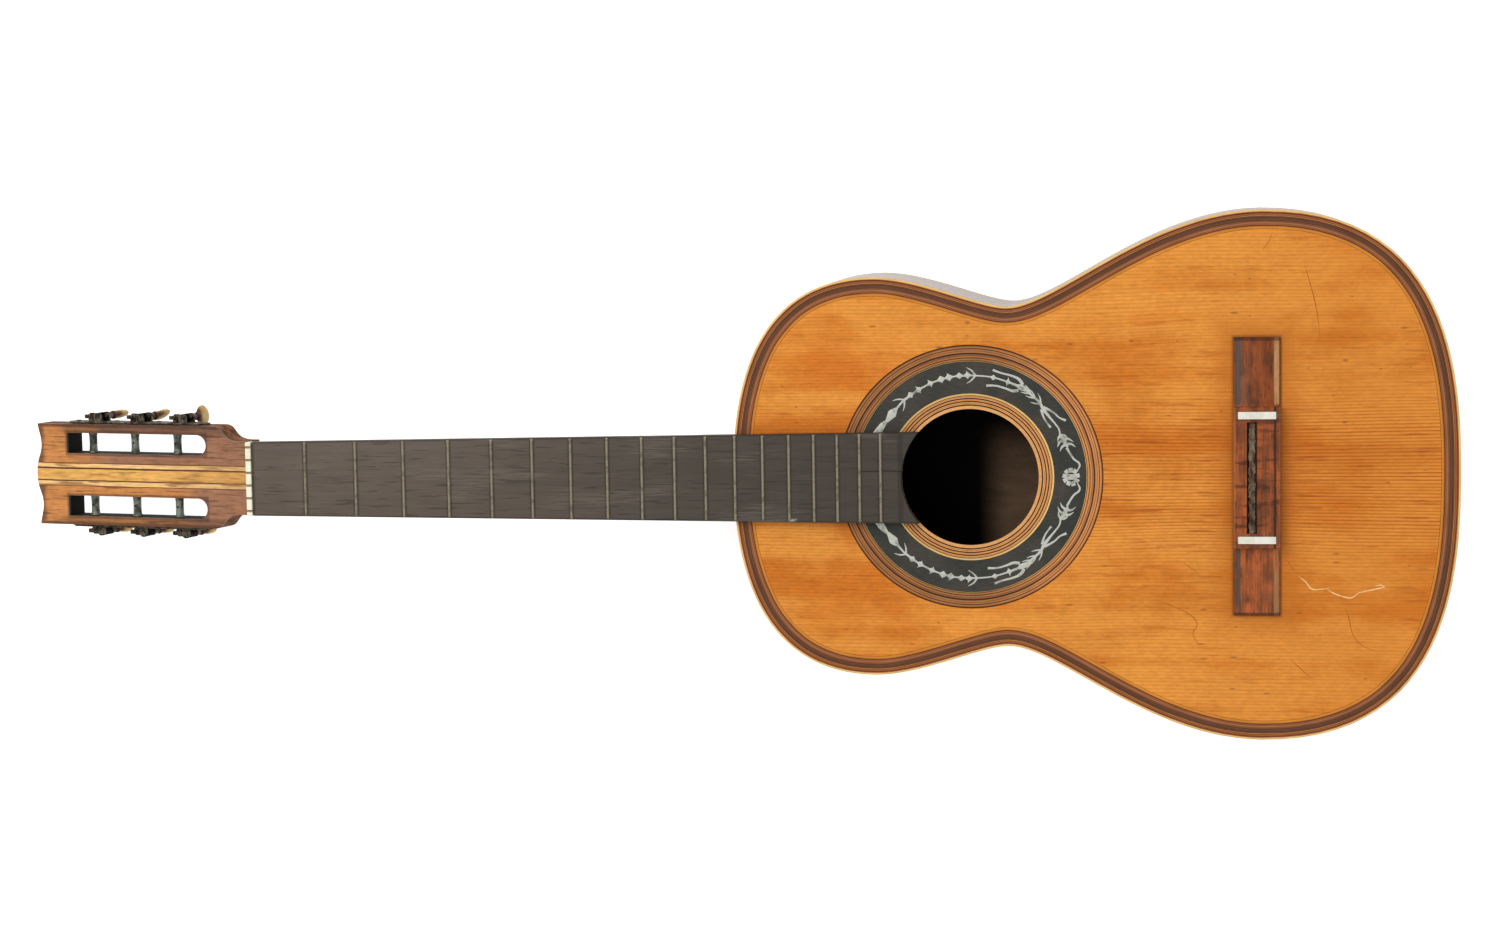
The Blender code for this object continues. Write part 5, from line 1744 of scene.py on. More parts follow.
@dataclass
class Neck:
    """The neck's shaft and its swelling heel, cut to the body, with the cap on its foot."""

    board: Fingerboard
    depth_at_nut: float = 0.0160
    depth_at_heel: float = 0.0180
    heel_start: float = 0.2480
    heel_full: float = 0.2950
    foot_length: float = 0.0140
    foot_half: float = 0.0130
    cap: float = 0.0027
    shaft_roundness: float = 2.3
    heel_roundness: float = 1.35
    heel_power: float = 2.6
    scarf: float = 0.0550
    under_nut: float = 0.0050
    steps: int = 20

    def section(self, station: float) -> list[Point]:
        """The closed section at a station, flat on top and rounded below.

        Args:
            station: The distance from the nut.

        Returns:
            Its points, from the treble edge under the neck to the bass edge.
        """
        rise = (station - self.heel_start) / (self.heel_full - self.heel_start)
        progress = min(max(rise, 0.0), 1.0)
        swell = (self.depth_at_heel - self.depth_at_nut) * max(station, 0.0) / self.heel_start
        shaft = min(self.depth_at_nut + swell, self.depth_at_heel)
        deep = self.board.body.depth - self.cap - GAP
        depth = shaft + (deep - shaft) * progress**self.heel_power
        power = 2.0 / (self.shaft_roundness + (self.heel_roundness - self.shaft_roundness) * progress)
        half = self.board.half(station)
        foot = 0.0
        if progress == 1.0:
            left = min(max((self.heel_full + self.foot_length - station) / self.foot_length, 0.0), 1.0)
            foot = self.foot_half * math.sqrt(1.0 - left * left)
        side = []
        for i in range(self.steps + 1):
            turn = math.pi / 2 * i / self.steps
            y = foot + (half - foot) * max(math.cos(turn), 0.0) ** power
            if i == self.steps:
                y = max(foot, 0.0003)
            side.append((y, self.board.body.depth - depth * math.sin(turn) ** power))
        ring = side + [(-y, z) for y, z in reversed(side)]
        return [(station + NUT_X, y, z) for y, z in ring]

    def build(self) -> None:
        """Make the neck and the heel cap."""
        body = self.board.body
        stations = [0.0253 * i - self.under_nut for i in range(10)] + [self.heel_start]
        rise = self.heel_full - self.heel_start
        stations += [self.heel_start + rise * math.sqrt((i + 1) / 16) for i in range(16)]
        stations += [self.heel_full + self.foot_length * ((i + 1) / 8) ** 2 for i in range(8)]
        stations.append(body.outline.neck_end + CLEAR)
        neck = from_sections("neck_shaft", [self.section(station) for station in stations])
        carve(neck, body.outline.band("body_space", -CLEAR, body.depth + CLEAR, 0.0))
        slope = self.depth_at_nut / self.scarf
        keep_below(neck, (NUT_X, 0.0, body.depth), (-slope, 0.0, -1.0))
        hand_over(neck, NECK_WOOD, "neck_wood", "neck")
        nose = NUT_X + self.heel_full + self.foot_length
        back = NUT_X + body.outline.neck_end - GAP
        cap = add_box("heel_plate", (nose, -self.foot_half, 0.0), (back, self.foot_half, self.cap))
        round_nose = add_rod("nose", self.foot_half, (nose, 0.0, 0.0), (nose, 0.0, self.cap), 64)
        with editing(round_nose):
            bpy.ops.mesh.select_all(action="SELECT")
            stretch((self.foot_length / self.foot_half, 1.0, 1.0), (nose, 0.0, 0.0))
        carve(cap, round_nose, way="UNION")
        keep_below(cap, (back, 0.0, 0.0), (1.0, 0.0, 0.0))
        hand_over(ease(cap, WORN_EDGE), HEEL_WOOD, "neck_wood", "heel_cap")


# ---------------------------------------------------------------- head


@dataclass(frozen=True)
class VeneerWood(Finish):
    """The head's face: orange-tan at the crown, brown towards the nut, dark along its edges and slots."""

    head: "Head"

    def paint_on(self, paint: Paint) -> bpy.types.Material:
        """Grain along the head, toned by the distance from the nut and from the edges."""
        along, depth = self.head.inwards(paint)
        across = abs(paint.y)
        lower = paint.y.rise(-0.002, -0.010)
        grain = paint.noise((14.0, 420.0, 60.0), 3.0)
        fine = paint.noise((90.0, 1800.0, 200.0), 2.0, seed=3.0)
        patch = paint.noise((34.0, 60.0, 30.0), 3.0, seed=6.0)
        warm, brown, dark = (0.60, 0.240, 0.070), (0.35, 0.162, 0.088), (0.075, 0.036, 0.023)
        mixed = along + 0.06 * (patch - 0.5) + 0.075 * lower * along.rise(0.020, 0.040)
        rails = across.rise(0.0262, 0.0296) * along.rise(0.150, 0.138)
        head = self.head
        crown = (along + 0.004 * (patch - 0.5)).rise(head.length - 0.0068, head.length - 0.0022)
        edge = across.rise(head.half - 0.0030, head.half - 0.0012) | crown
        slots = across.band(head.slot_inner - 0.0016, head.slot_inner + head.slot_width + 0.0016, 0.0012)
        slots = slots * along.band(head.slot_start - 0.0012, head.slot_end + 0.0012, 0.0016)
        colour = paint.over(
            paint.blend(mixed.rise(0.145, 0.100), warm, brown),
            (rails * (0.54 - 0.08 * lower), dark),
            ((edge | slots * 0.8) * 0.75, dark),
            ((patch * 0.5 + grain * 0.5).rise(0.55, 0.66) * 0.6, dark),
            (paint.noise((30.0, 620.0, 90.0), 3.0, seed=12.0).rise(0.56, 0.66) * 0.6, dark),
        )
        mottle = paint.noise((160.0, 300.0, 160.0), 3.0, seed=14.0)
        colour = paint.scaled(colour, 0.12 + 0.65 * grain + 0.45 * fine + 0.70 * mottle)
        # Painted shade: the veneer's own slot walls, below its face, go nearly black.
        colour = paint.over(colour, (head.slot_walls(paint) * depth.rise(0.0002, 0.0006), head.wall_dirt))
        return paint.surface(colour, 0.38 + 0.2 * patch, paint.bump(grain + fine, 0.00005), coat=0.12)


@dataclass(frozen=True)
class HeadCore(Wood):
    """The head's cedar under its veneer, with painted shade that makes the slots' walls nearly black."""

    head: "Head | None" = None

    def soiled(self, paint: Paint, colour: Socket) -> Socket:
        """Painted shade on the slot walls."""
        _, depth = self.head.inwards(paint)
        # Painted shade: the slot walls, except near the head's back, go nearly black.
        walls = self.head.slot_walls(paint) * depth.rise(0.0186, 0.0180)
        return paint.blend(walls, colour, self.head.wall_dirt)


@dataclass(frozen=True)
class StripLines(Finish):
    """The head's centre strip: light and dark lines either side of a worn golden band."""

    def paint_on(self, paint: Paint) -> bpy.types.Material:
        """Bands across the strip and stains along it."""
        pale, gold, dark = (0.96, 0.58, 0.23), (0.86, 0.45, 0.115), (0.10, 0.045, 0.020)
        sway = paint.noise((24.0, 0.0, 0.0), 2.0, seed=2.0) - 0.5
        across = paint.y + sway * 0.0008
        bands = (
            (-9.0, BROWN), (-7.5, pale), (-4.6, dark), (-3.7, gold), (3.7, dark), (4.9, pale), (7.4, BROWN),
        )
        colour = paint.lines(across, bands, 9.0)
        stain = paint.noise((26.0, 260.0, 60.0), 3.0, seed=5.0)
        flecks = paint.noise((34.0, 700.0, 60.0), 3.0, seed=9.0).rise(0.60, 0.68)
        colour = paint.over(
            colour,
            (stain.rise(0.52, 0.62) * 0.75, (0.30, 0.130, 0.042)),
            (flecks * 0.6, (0.20, 0.085, 0.030)),
            (paint.x.rise(NUT_X - 0.085, NUT_X - 0.02) * 0.30, (0.33, 0.16, 0.065)),
        )
        fine = paint.noise((60.0, 1500.0, 200.0), 2.0)
        mottle = paint.noise((120.0, 420.0, 120.0), 3.0, seed=14.0)
        colour = paint.scaled(colour, 0.28 + 0.6 * fine + 0.72 * mottle)
        return paint.surface(colour, 0.36 + 0.2 * stain, paint.bump(fine, 0.00004), coat=0.15)


@dataclass
class Head:
    """The slotted head, modelled flat with its face at Z = 0 and its tip towards -X, then tilted back."""

    neck: Neck
    tilt: float = math.radians(13.0)
    length: float = 0.1630
    half: float = 0.0345
    thickness: float = 0.0190
    veneer: float = 0.0020
    strip: tuple[float, float] = (0.0156, 0.0008)
    slot_start: float = 0.0310
    slot_end: float = 0.1400
    slot_inner: float = 0.0145
    slot_width: float = 0.0139
    ogee: tuple[float, float] = (0.0050, 0.0310)
    crown_rise: float = 0.0015
    crown_scoop: float = 0.0026
    roller_depth: float = 0.0095
    roller_seat: float = 0.0055
    roller_radius: float = 0.0030
    # Painted shade: the near-black colour given to the string slots' walls.
    wall_dirt: Colour = (0.006, 0.007, 0.005)

    @property
    def place(self) -> Matrix:
        """Where the flat head goes: the pivot under the nut, and the tilt."""
        board = self.neck.board
        pivot = NUT_X - (board.nut_width + 2 * GAP + self.veneer * math.sin(self.tilt))
        height = board.body.depth + self.veneer + GAP
        return Matrix.Translation((pivot, 0.0, height)) @ Matrix.Rotation(-self.tilt, 4, "Y")

    def inwards(self, paint: Paint) -> tuple[Socket, Socket]:
        """The distance from the nut along the head, and the depth under its face, as shader values.

        Args:
            paint: The material that reads them.

        Returns:
            Both values.
        """
        pivot = self.place.translation
        x, z = paint.x - pivot.x, paint.z - pivot.z
        turn = math.cos(self.tilt), math.sin(self.tilt)
        return 0.0 - (x * turn[0] + z * turn[1]), x * turn[1] - z * turn[0]

    def slot_walls(self, paint: Paint) -> Socket:
        """A mask of what lies within the string slots and on their walls.

        Args:
            paint: The material that needs it.

        Returns:
            The mask.
        """
        along, _ = self.inwards(paint)
        spare = 0.0004
        wide = abs(paint.y).band(self.slot_inner - spare, self.slot_inner + self.slot_width + spare, 0.0002)
        return wide * along.band(self.slot_start - spare, self.slot_end + spare, 0.0002)

    def edge(self) -> list[tuple[float, float]]:
        """Half of the face's outline: the ogee from the nut, then the crown to its middle.

        Returns:
            Points from the nut to the crown's middle.
        """
        nut_half = self.neck.board.half(0.0)
        start, end = self.ogee
        knee = (-(start + end) / 2 - 0.0010, (nut_half + self.half) / 2 + 0.0016)
        bends = (
            ((-start, nut_half), (-start - 0.009, nut_half), (knee[0] + 0.003, knee[1] - 0.004), knee),
            (knee, (knee[0] - 0.003, knee[1] + 0.004), (-end + 0.006, self.half), (-end, self.half)),
        )
        points = [(0.0, nut_half)]
        for a, b, c, d in bends:
            for i in range(1 if len(points) > 1 else 0, 17):
                t = i / 16
                shares = ((1 - t) ** 3, 3 * t * (1 - t) ** 2, 3 * t * t * (1 - t), t**3)
                points.append(tuple(sum(s * p[k] for s, p in zip(shares, (a, b, c, d))) for k in (0, 1)))
        for i in range(29):
            share = i / 28
            wave = self.crown_scoop * math.sin(math.pi * min(share / 0.8, 1.0)) ** 1.5
            lift = self.crown_rise * 0.5 * (1.0 - math.cos(math.pi * max(share - 0.5, 0.0) / 0.5))
            points.append((-(self.length - wave + lift), self.half * (1.0 - share)))
        return points

    def slab(self, name: str, low: float, high: float, start: float = 0.0) -> Piece:
        """A plate of the head's outline.

        Args:
            name: The piece's name.
            low: The Z of its underside.
            high: The Z of its face.
            start: How far past the nut it starts.

        Returns:
            The closed plate, still flat.
        """
        half = [(min(x, -start), y, low) for x, y in self.edge()]
        loop = half + [(x, -y, z) for x, y, z in reversed(half[:-1])]
        piece = from_faces(name, loop, [list(range(len(loop)))])
        with editing(piece):
            pick(piece, Kind.FACE)
            grow((0.0, 0.0, high - low))
        outwards(piece)
        return piece

    def slot(self, side: Side) -> Piece:
        """The cutter of one string slot, square at the crown end and round at the nut end."""
        radius = self.slot_width / 2
        y = side.value * (self.slot_inner + radius)
        start = -self.slot_start - radius
        low, high = -self.thickness - CLEAR, CLEAR
        tool = add_box(f"slot_{side.label}", (-self.slot_end, y - radius, low), (start, y + radius, high))
        return carve(tool, add_rod("slot_end", radius, (start, y, low), (start, y, high), 48), way="UNION")

    def build(self, places: Sequence[float]) -> None:
        """Make the headstock with its half of the neck joint, the veneer and the centre strip.

        Args:
            places: The rollers' distances along the head.
        """
        top = -(self.veneer + GAP)
        stock = settle(self.slab("head_core", -self.thickness, top, 2 * GAP), self.place)
        neck = self.neck
        stations = [-neck.under_nut] + [0.0075 * i for i in range(9)]
        tongue = from_sections("tongue", [neck.section(station) for station in stations])
        slope = neck.depth_at_nut / neck.scarf
        keep_below(tongue, (NUT_X, 0.0, neck.board.body.depth - GAP), (slope, 0.0, 1.0))
        carve(stock, tongue, way="UNION")
        veneer = self.slab("head_face", -self.veneer, 0.0)
        wide, thick = self.strip
        groove = (wide / 2 + FIT, thick + FIT)
        carve(veneer, add_box("groove", (-0.2, -groove[0], -groove[1]), (0.02, groove[0], 0.01)))
        for side in Side:
            carve(veneer, self.slot(side))
            carve(stock, settle(self.slot(side), self.place))
            for i, along in enumerate(places):
                inner = side.value * (self.slot_inner - self.roller_seat - GAP)
                start = (-along, inner, -self.roller_depth)
                end = (-along, side.value * (self.half + CLEAR), -self.roller_depth)
                bore = add_rod(f"bore_{i}", self.roller_radius + GAP, start, end, 40)
                carve(stock, settle(bore, self.place))
        cedar = (0.30, 0.125, 0.055), (0.100, 0.046, 0.024)
        core = HeadCore("head_core_cedar", *cedar, 260.0, roughness=0.8, head=self)
        hand_over(stock, core, "neck_wood", "headstock")
        veneer = settle(ease(veneer, WORN_EDGE, angle=60.0), self.place)
        hand_over(veneer, VeneerWood("head_veneer", self), "head_veneer_wood", "head_veneer")
        strip = self.slab("head_strip", -thick, 0.0)
        space = add_box("strip_space", (-0.2, -wide / 2, -0.01), (0.02, wide / 2, 0.01))
        strip = settle(carve(strip, space, way="INTERSECT"), self.place)
        hand_over(strip, StripLines("head_strip"), "head_strip_wood", "head_centre_strip")


# ---------------------------------------------------------------- tuners


@dataclass
class Tuners:
    """Six worm-geared tuners on two plates; each kind of piece is modelled once and copied to its places."""

    head: Head
    first: float = 0.0583
    spacing: float = 0.0333
    plate: tuple[float, float] = (0.0012, 0.0140)
    overhang: float = 0.0180
    point: float = 0.0060
    lug: tuple[float, float, float] = (0.0016, 0.0056, 0.0054)
    teeth: int = 14
    pitch: float = 0.00235
    crest: float = 0.0029
    pitch_radius: float = 0.00245
    root: float = 0.0017
    gear_width: float = 0.0030
    hub: float = 0.0028
    screw: tuple[float, float] = (0.0021, 0.0012)
    spindle: float = 0.0016
    shaft: float = 0.0015
    ferrule: tuple[float, float] = (0.0024, 0.0034)
    button_depth: float = 0.0300
    button_radius: float = 0.0070
    button_half: float = 0.0029
    button_neck: tuple[float, float] = (0.0030, 0.0046)
    button_seat: float = 0.0036
    fit: float = 0.00025
    wood_screw: tuple[float, float] = (0.0017, 0.0007)
    screw_ends: tuple[float, float] = (0.0074, 0.0070)
    screw_step: float = 0.0140
    screw_turns: tuple[float, float] = (37.0, 61.0)
    turns: tuple[tuple[float, ...], tuple[float, ...]] = ((6.0, -65.0, -78.0), (88.0, 84.0, 78.0))

    @property
    def places(self) -> list[float]:
        """The rollers' distances from the nut along the head."""
        return [self.first + self.spacing * i for i in range(3)]

    @property
    def gear_radius(self) -> float:
        """The gear's pitch radius."""
        return self.teeth * self.pitch / math.tau

    @property
    def offset(self) -> float:
        """How far the worm's axis is from the gear's."""
        return self.gear_radius + self.pitch_radius

    @property
    def plate_outer(self) -> float:
        """The plate's outer face, from the centre line."""
        return self.head.half + GAP + self.plate[0]

    @property
    def worm_y(self) -> float:
        """The worm's and the gear's distance from the centre line."""
        return self.plate_outer + self.crest + GAP

    def screw_head(self, name: str, radius: float, height: float) -> Piece:
        """A domed, slotted screw head that stands on Y = 0 and points along +Y.

        Args:
            name: The piece's name.
            radius: Its radius.
            height: Its height.

        Returns:
            The screw head.
        """
        head = add_rod(name, radius, (0.0, -0.0003, 0.0), (0.0, height, 0.0), 32)
        with editing(head):
            pick(head, Kind.FACE, lambda face: face.normal.y > 0.9)
            bpy.ops.mesh.bevel(offset=height * 0.5, segments=4, affect="EDGES")
        low = (-0.00028, height * 0.45, -radius * 1.2)
        return carve(head, add_box("driver_slot", low, (0.00028, height * 2, radius * 1.2)))

    def make_plate(self, side: Side) -> None:
        """One plate with pointed ends, its six lugs and its four wood screws.

        Args:
            side: Which edge of the head it is on.
        """
        sign = side.value
        thick, tall = self.plate
        depth = -self.head.roller_depth
        near = self.places[0] - self.overhang - self.offset
        far = self.places[-1] + self.overhang
        ys = sorted((sign * (self.plate_outer - thick), sign * self.plate_outer))
        low = (-far + self.point, ys[0], depth - tall / 2)
        high = (-near - self.point, ys[1], depth + tall / 2)
        plate = add_box(f"tuner_base_{side.label}", low, high)
        with editing(plate):
            for way in (1.0, -1.0):
                pick(plate, Kind.FACE, lambda face: face.normal.x * way > 0.9)
                grow((way * self.point, 0.0, 0.0))
                stretch((1.0, 1.0, 0.08), (0.0, 0.0, depth))
        ease(plate, 0.00025, 2)
        lug_thick, lug_wide, lug_at = self.lug
        bores = []
        for along in self.places:
            x = -along + self.offset
            out = self.worm_y + lug_wide / 2
            ends = sorted((sign * (self.plate_outer - thick / 2), sign * out))
            for z in (depth + lug_at, depth - lug_at):
                low = (x - lug_wide / 2, ends[0], z - lug_thick / 2)
                lug = add_box("lug", low, (x + lug_wide / 2, ends[1], z + lug_thick / 2))
                with editing(lug):
                    pick(
                        lug, Kind.EDGE,
                        lambda e: abs(middle(e).y) > out - 1e-4 and abs(middle(e).x - x) > 1e-3,
                    )
                    bpy.ops.mesh.bevel(offset=lug_wide * 0.34, segments=5)
                carve(plate, ease(lug, 0.0002, 2), way="UNION")
            start, end = ((x, sign * self.worm_y, depth + z) for z in (-0.012, 0.012))
            bores.append(add_rod("bore", self.shaft + self.fit, start, end, 24))
            start = (-along, sign * (self.head.half - 0.002), depth)
            end = (-along, sign * (self.plate_outer + 0.001), depth)
            bores.append(add_rod("bore", self.spindle + self.fit, start, end, 24))
        carve(plate, *bores)
        hand_over(settle(plate, self.head.place), PLATE_METAL, "plate_metal", f"tuner_plate_{side.label}")
        model = self.screw_head("wood_screw", *self.wood_screw)
        between = [along + self.screw_step for along in self.places[:2]]
        first, step = self.screw_turns
        for i, along in enumerate((near + self.screw_ends[0], *between, far - self.screw_ends[1])):
            turn = Matrix.Rotation(math.radians(first + step * i), 4, "Y")
            spot = Matrix.Translation((-along, sign * self.plate_outer, depth)) @ side.turned("Z") @ turn
            screw = copy_of(model, f"wood_screw_{side.label}_{i + 1}", self.head.place @ spot)
            hand_over(screw, WORM_STEEL, "plate_metal")
        put_away(model)

    def model_worm(self) -> Piece:
        """The worm shaft about Z: journal, thin helical thread, collar and tail.

        Returns:
            The worm, whose thread lies in the gear's grooves at rest.
        """
        thick, _, at = self.lug
        front = at + thick / 2 + GAP
        tail = self.head.roller_depth - (self.button_depth - self.button_radius + self.button_seat)
        worm = add_rod("worm", self.shaft, (0.0, 0.0, tail), (0.0, 0.0, front), 28)
        radius, height = self.ferrule
        collar = add_rod("collar", radius, (0.0, 0.0, -front - height), (0.0, 0.0, -front), 32)
        with editing(collar):
            pick(collar, Kind.FACE, lambda face: abs(face.normal.z) > 0.9)
            bpy.ops.mesh.bevel(offset=0.0005, segments=3, affect="EDGES")
        reach = 1.5 * self.pitch
        end = reach + 0.0004
        core = add_rod("core", self.root, (0.0, 0.0, -end), (0.0, 0.0, end), 28)
        bpy.ops.mesh.primitive_plane_add(size=1.0, rotation=(math.pi / 2, 0.0, 0.0))
        ridge = named("ridge")
        with editing(ridge):
            for at_crest, x, drop in ((True, -self.crest, 0.00028), (False, 0.0003 - self.root, 0.00068)):
                pick(ridge, Kind.VERT, lambda v: (v.co.x < 0.1 or v.co.z > 0.1) is at_crest)
                stretch(ORIGIN, (x, 0.0, -drop - reach))
        thread = {"axis": "Z", "angle": math.tau, "screw_offset": self.pitch, "iterations": 3}
        work(ridge, "SCREW", **thread, steps=36, render_steps=36)
        with editing(ridge):
            bpy.ops.mesh.select_all(action="SELECT")
            bpy.ops.mesh.remove_doubles(threshold=1e-6)
            bpy.ops.mesh.select_all(action="DESELECT")
            bpy.ops.mesh.select_mode(type="EDGE")
            bpy.ops.mesh.select_non_manifold(extend=False)
            bpy.ops.mesh.edge_face_add()
        outwards(ridge)
        return join("worm", [worm, collar, core, ridge])

    def model_gear(self) -> Piece:
        """The treble side's worm wheel about Y, with its hub and the screw that holds it.

        Returns:
            The wheel, its middle plane at Y = 0.
        """
        low, high = self.gear_radius - 0.00079, self.gear_radius + 0.00041
        half = self.gear_width / 2
        sides = self.teeth * 8
        wheel = add_rod("wheel", low, (0.0, -half, 0.0), (0.0, half, 0.0), sides)

        def eighth(vertex: bmesh.types.BMVert) -> int:
            """Which eighth of a tooth's arc a rim vertex stands on, 0 at the tooth's middle."""
            return round(math.atan2(-vertex.co.z, vertex.co.x) / (math.tau / sides)) % 8

        with editing(wheel):
            for eighths, radius in (((0, 1, 7), high), ((2, 6), (low + high) / 2 + 0.0001)):
                pick(wheel, Kind.VERT, lambda v: eighth(v) in eighths and v.co.xz.length > low * 0.9)
                stretch((radius / low, 1.0, radius / low))
            slant = self.pitch / (math.tau * self.pitch_radius) / self.gear_radius * half
            for way in (1.0, -1.0):
                pick(wheel, Kind.VERT, lambda v: v.co.y * way > 0.0)
                bpy.ops.transform.rotate(value=-way * slant, orient_axis="Y", center_override=ORIGIN)
            pick(wheel, Kind.FACE, lambda face: abs(face.normal.y) > 0.9)
            bpy.ops.mesh.inset(thickness=0.0011)
            bpy.ops.mesh.inset(thickness=0.0002, depth=-0.0003)
        ease(wheel, 0.00012, 2, 30.0)
        hub_start = self.plate_outer + GAP - self.worm_y
        hub = add_rod("hub", self.hub, (0.0, hub_start, 0.0), (0.0, -half * 0.5, 0.0), 32)
        screw = self.screw_head("gear_screw", *self.screw)
        screw = settle(screw, Matrix.Translation((0.0, half - 0.0003, 0.0)))
        return join("wheel", [wheel, hub, screw])

    def model_roller(self) -> Piece:
        """The treble side's string roller along Y, with its spindle and its string hole.

        Returns:
            The roller.
        """
        head = self.head
        inner, outer = head.slot_inner - head.roller_seat, head.half
        roller = add_rod("roller", head.roller_radius, (0.0, inner, 0.0), (0.0, outer, 0.0), 40)
        with editing(roller):
            low, high = head.slot_inner, head.slot_inner + head.slot_width
            for edge in (0.0012, 0.0020, 0.0050):
                for cut in (low + edge, high - edge):
                    bpy.ops.mesh.select_all(action="SELECT")
                    bpy.ops.mesh.bisect(plane_co=(0.0, cut, 0.0), plane_no=(0.0, 1.0, 0.0))
            waist = head.slot_inner + head.slot_width / 2
            for reach, scale in ((0.0051, 0.93), (0.0027, 0.95)):
                pick(roller, Kind.VERT, lambda v: abs(v.co.y - waist) < reach)
                stretch((scale, 1.0, scale), (0.0, waist, 0.0))
        ease(roller, WORN_EDGE, 3, 60.0)
        carve(roller, add_rod("string_hole", 0.0008, (0.0, waist, -0.01), (0.0, waist, 0.01), 20))
        spindle = add_rod("spindle", self.spindle, (0.0, outer - 0.004, 0.0), (0.0, self.worm_y, 0.0), 24)
        return join("roller", [roller, spindle])

    def model_button(self) -> Piece:
        """A flat oval bone button about Z, with its flared neck, bored for the shaft.

        Returns:
            The button, its middle at the origin, with each point's height noted.
        """
        radius = self.button_radius
        bpy.ops.mesh.primitive_uv_sphere_add(segments=40, ring_count=24, radius=radius)
        button = named("button")
        with editing(button):
            bpy.ops.mesh.select_all(action="SELECT")
            stretch((self.button_half / radius, 1.0, 1.0))
        neck_radius, neck_length = self.button_neck
        top = radius + GAP
        neck = add_rod("neck", neck_radius, (0.0, 0.0, top - neck_length), (0.0, 0.0, top), 36)
        with editing(neck):
            pick(neck, Kind.FACE, lambda face: face.normal.z < -0.9)
            stretch((0.80, 0.80, 1.0), (0.0, 0.0, top))
            pick(neck, Kind.FACE, lambda face: face.normal.z > 0.9)
            bpy.ops.mesh.bevel(offset=0.0005, segments=3, affect="EDGES")
        carve(button, neck, way="UNION")
        floor = radius - self.button_seat - GAP
        carve(button, add_rod("bore", self.shaft + 0.0001, (0.0, 0.0, floor), (0.0, 0.0, top + 0.002), 24))
        note = button.data.attributes.new("along", "FLOAT", "POINT")
        note.data.foreach_set("value", [vertex.co.z for vertex in button.data.vertices])
        return button

    def build(self) -> None:
        """Make both sides: plates, then each string's worm, button, gear and roller."""
        models = (self.model_worm(), self.model_gear(), self.model_roller(), self.model_button())
        worm, gear, roller, button = models
        for side in Side:
            self.make_plate(side)
            sign = side.value
            turned = side.turned("X")
            for i, along in enumerate(self.places):
                label = f"{side.label}_{i + 1}"
                axle = self.head.place @ Matrix.Translation((-along, 0.0, -self.head.roller_depth))
                shaft = axle @ Matrix.Translation((self.offset, sign * self.worm_y, 0.0))
                wheel = axle @ Matrix.Translation((0.0, sign * self.worm_y, 0.0)) @ turned
                drop = Matrix.Translation((0.0, 0.0, self.head.roller_depth - self.button_depth))
                knob = shaft @ drop @ Matrix.Rotation(math.radians(self.turns[sign < 0][i]), 4, "Z")
                made = (
                    (worm, "thread", shaft, WORM_STEEL, "aged_steel", "worm_shaft", "worm"),
                    (button, "knob", knob, BUTTON_BONE, "button_bone", "button", "worm"),
                    (gear, "wheel", wheel, WORM_STEEL, "aged_steel", "gear", "roller_set"),
                    (roller, "barrel", axle @ turned, ROLLER_STEEL, "aged_steel", "roller", "roller_set"),
                )
                for model, name, place, finish, slot, node, body in made:
                    piece = copy_of(model, f"{name}_{label}", place)
                    hand_over(piece, finish, slot, f"{node}_{label}", body=f"{body}_{label}", angle=40.0)
        put_away(*models)


# ---------------------------------------------------------------- bridge


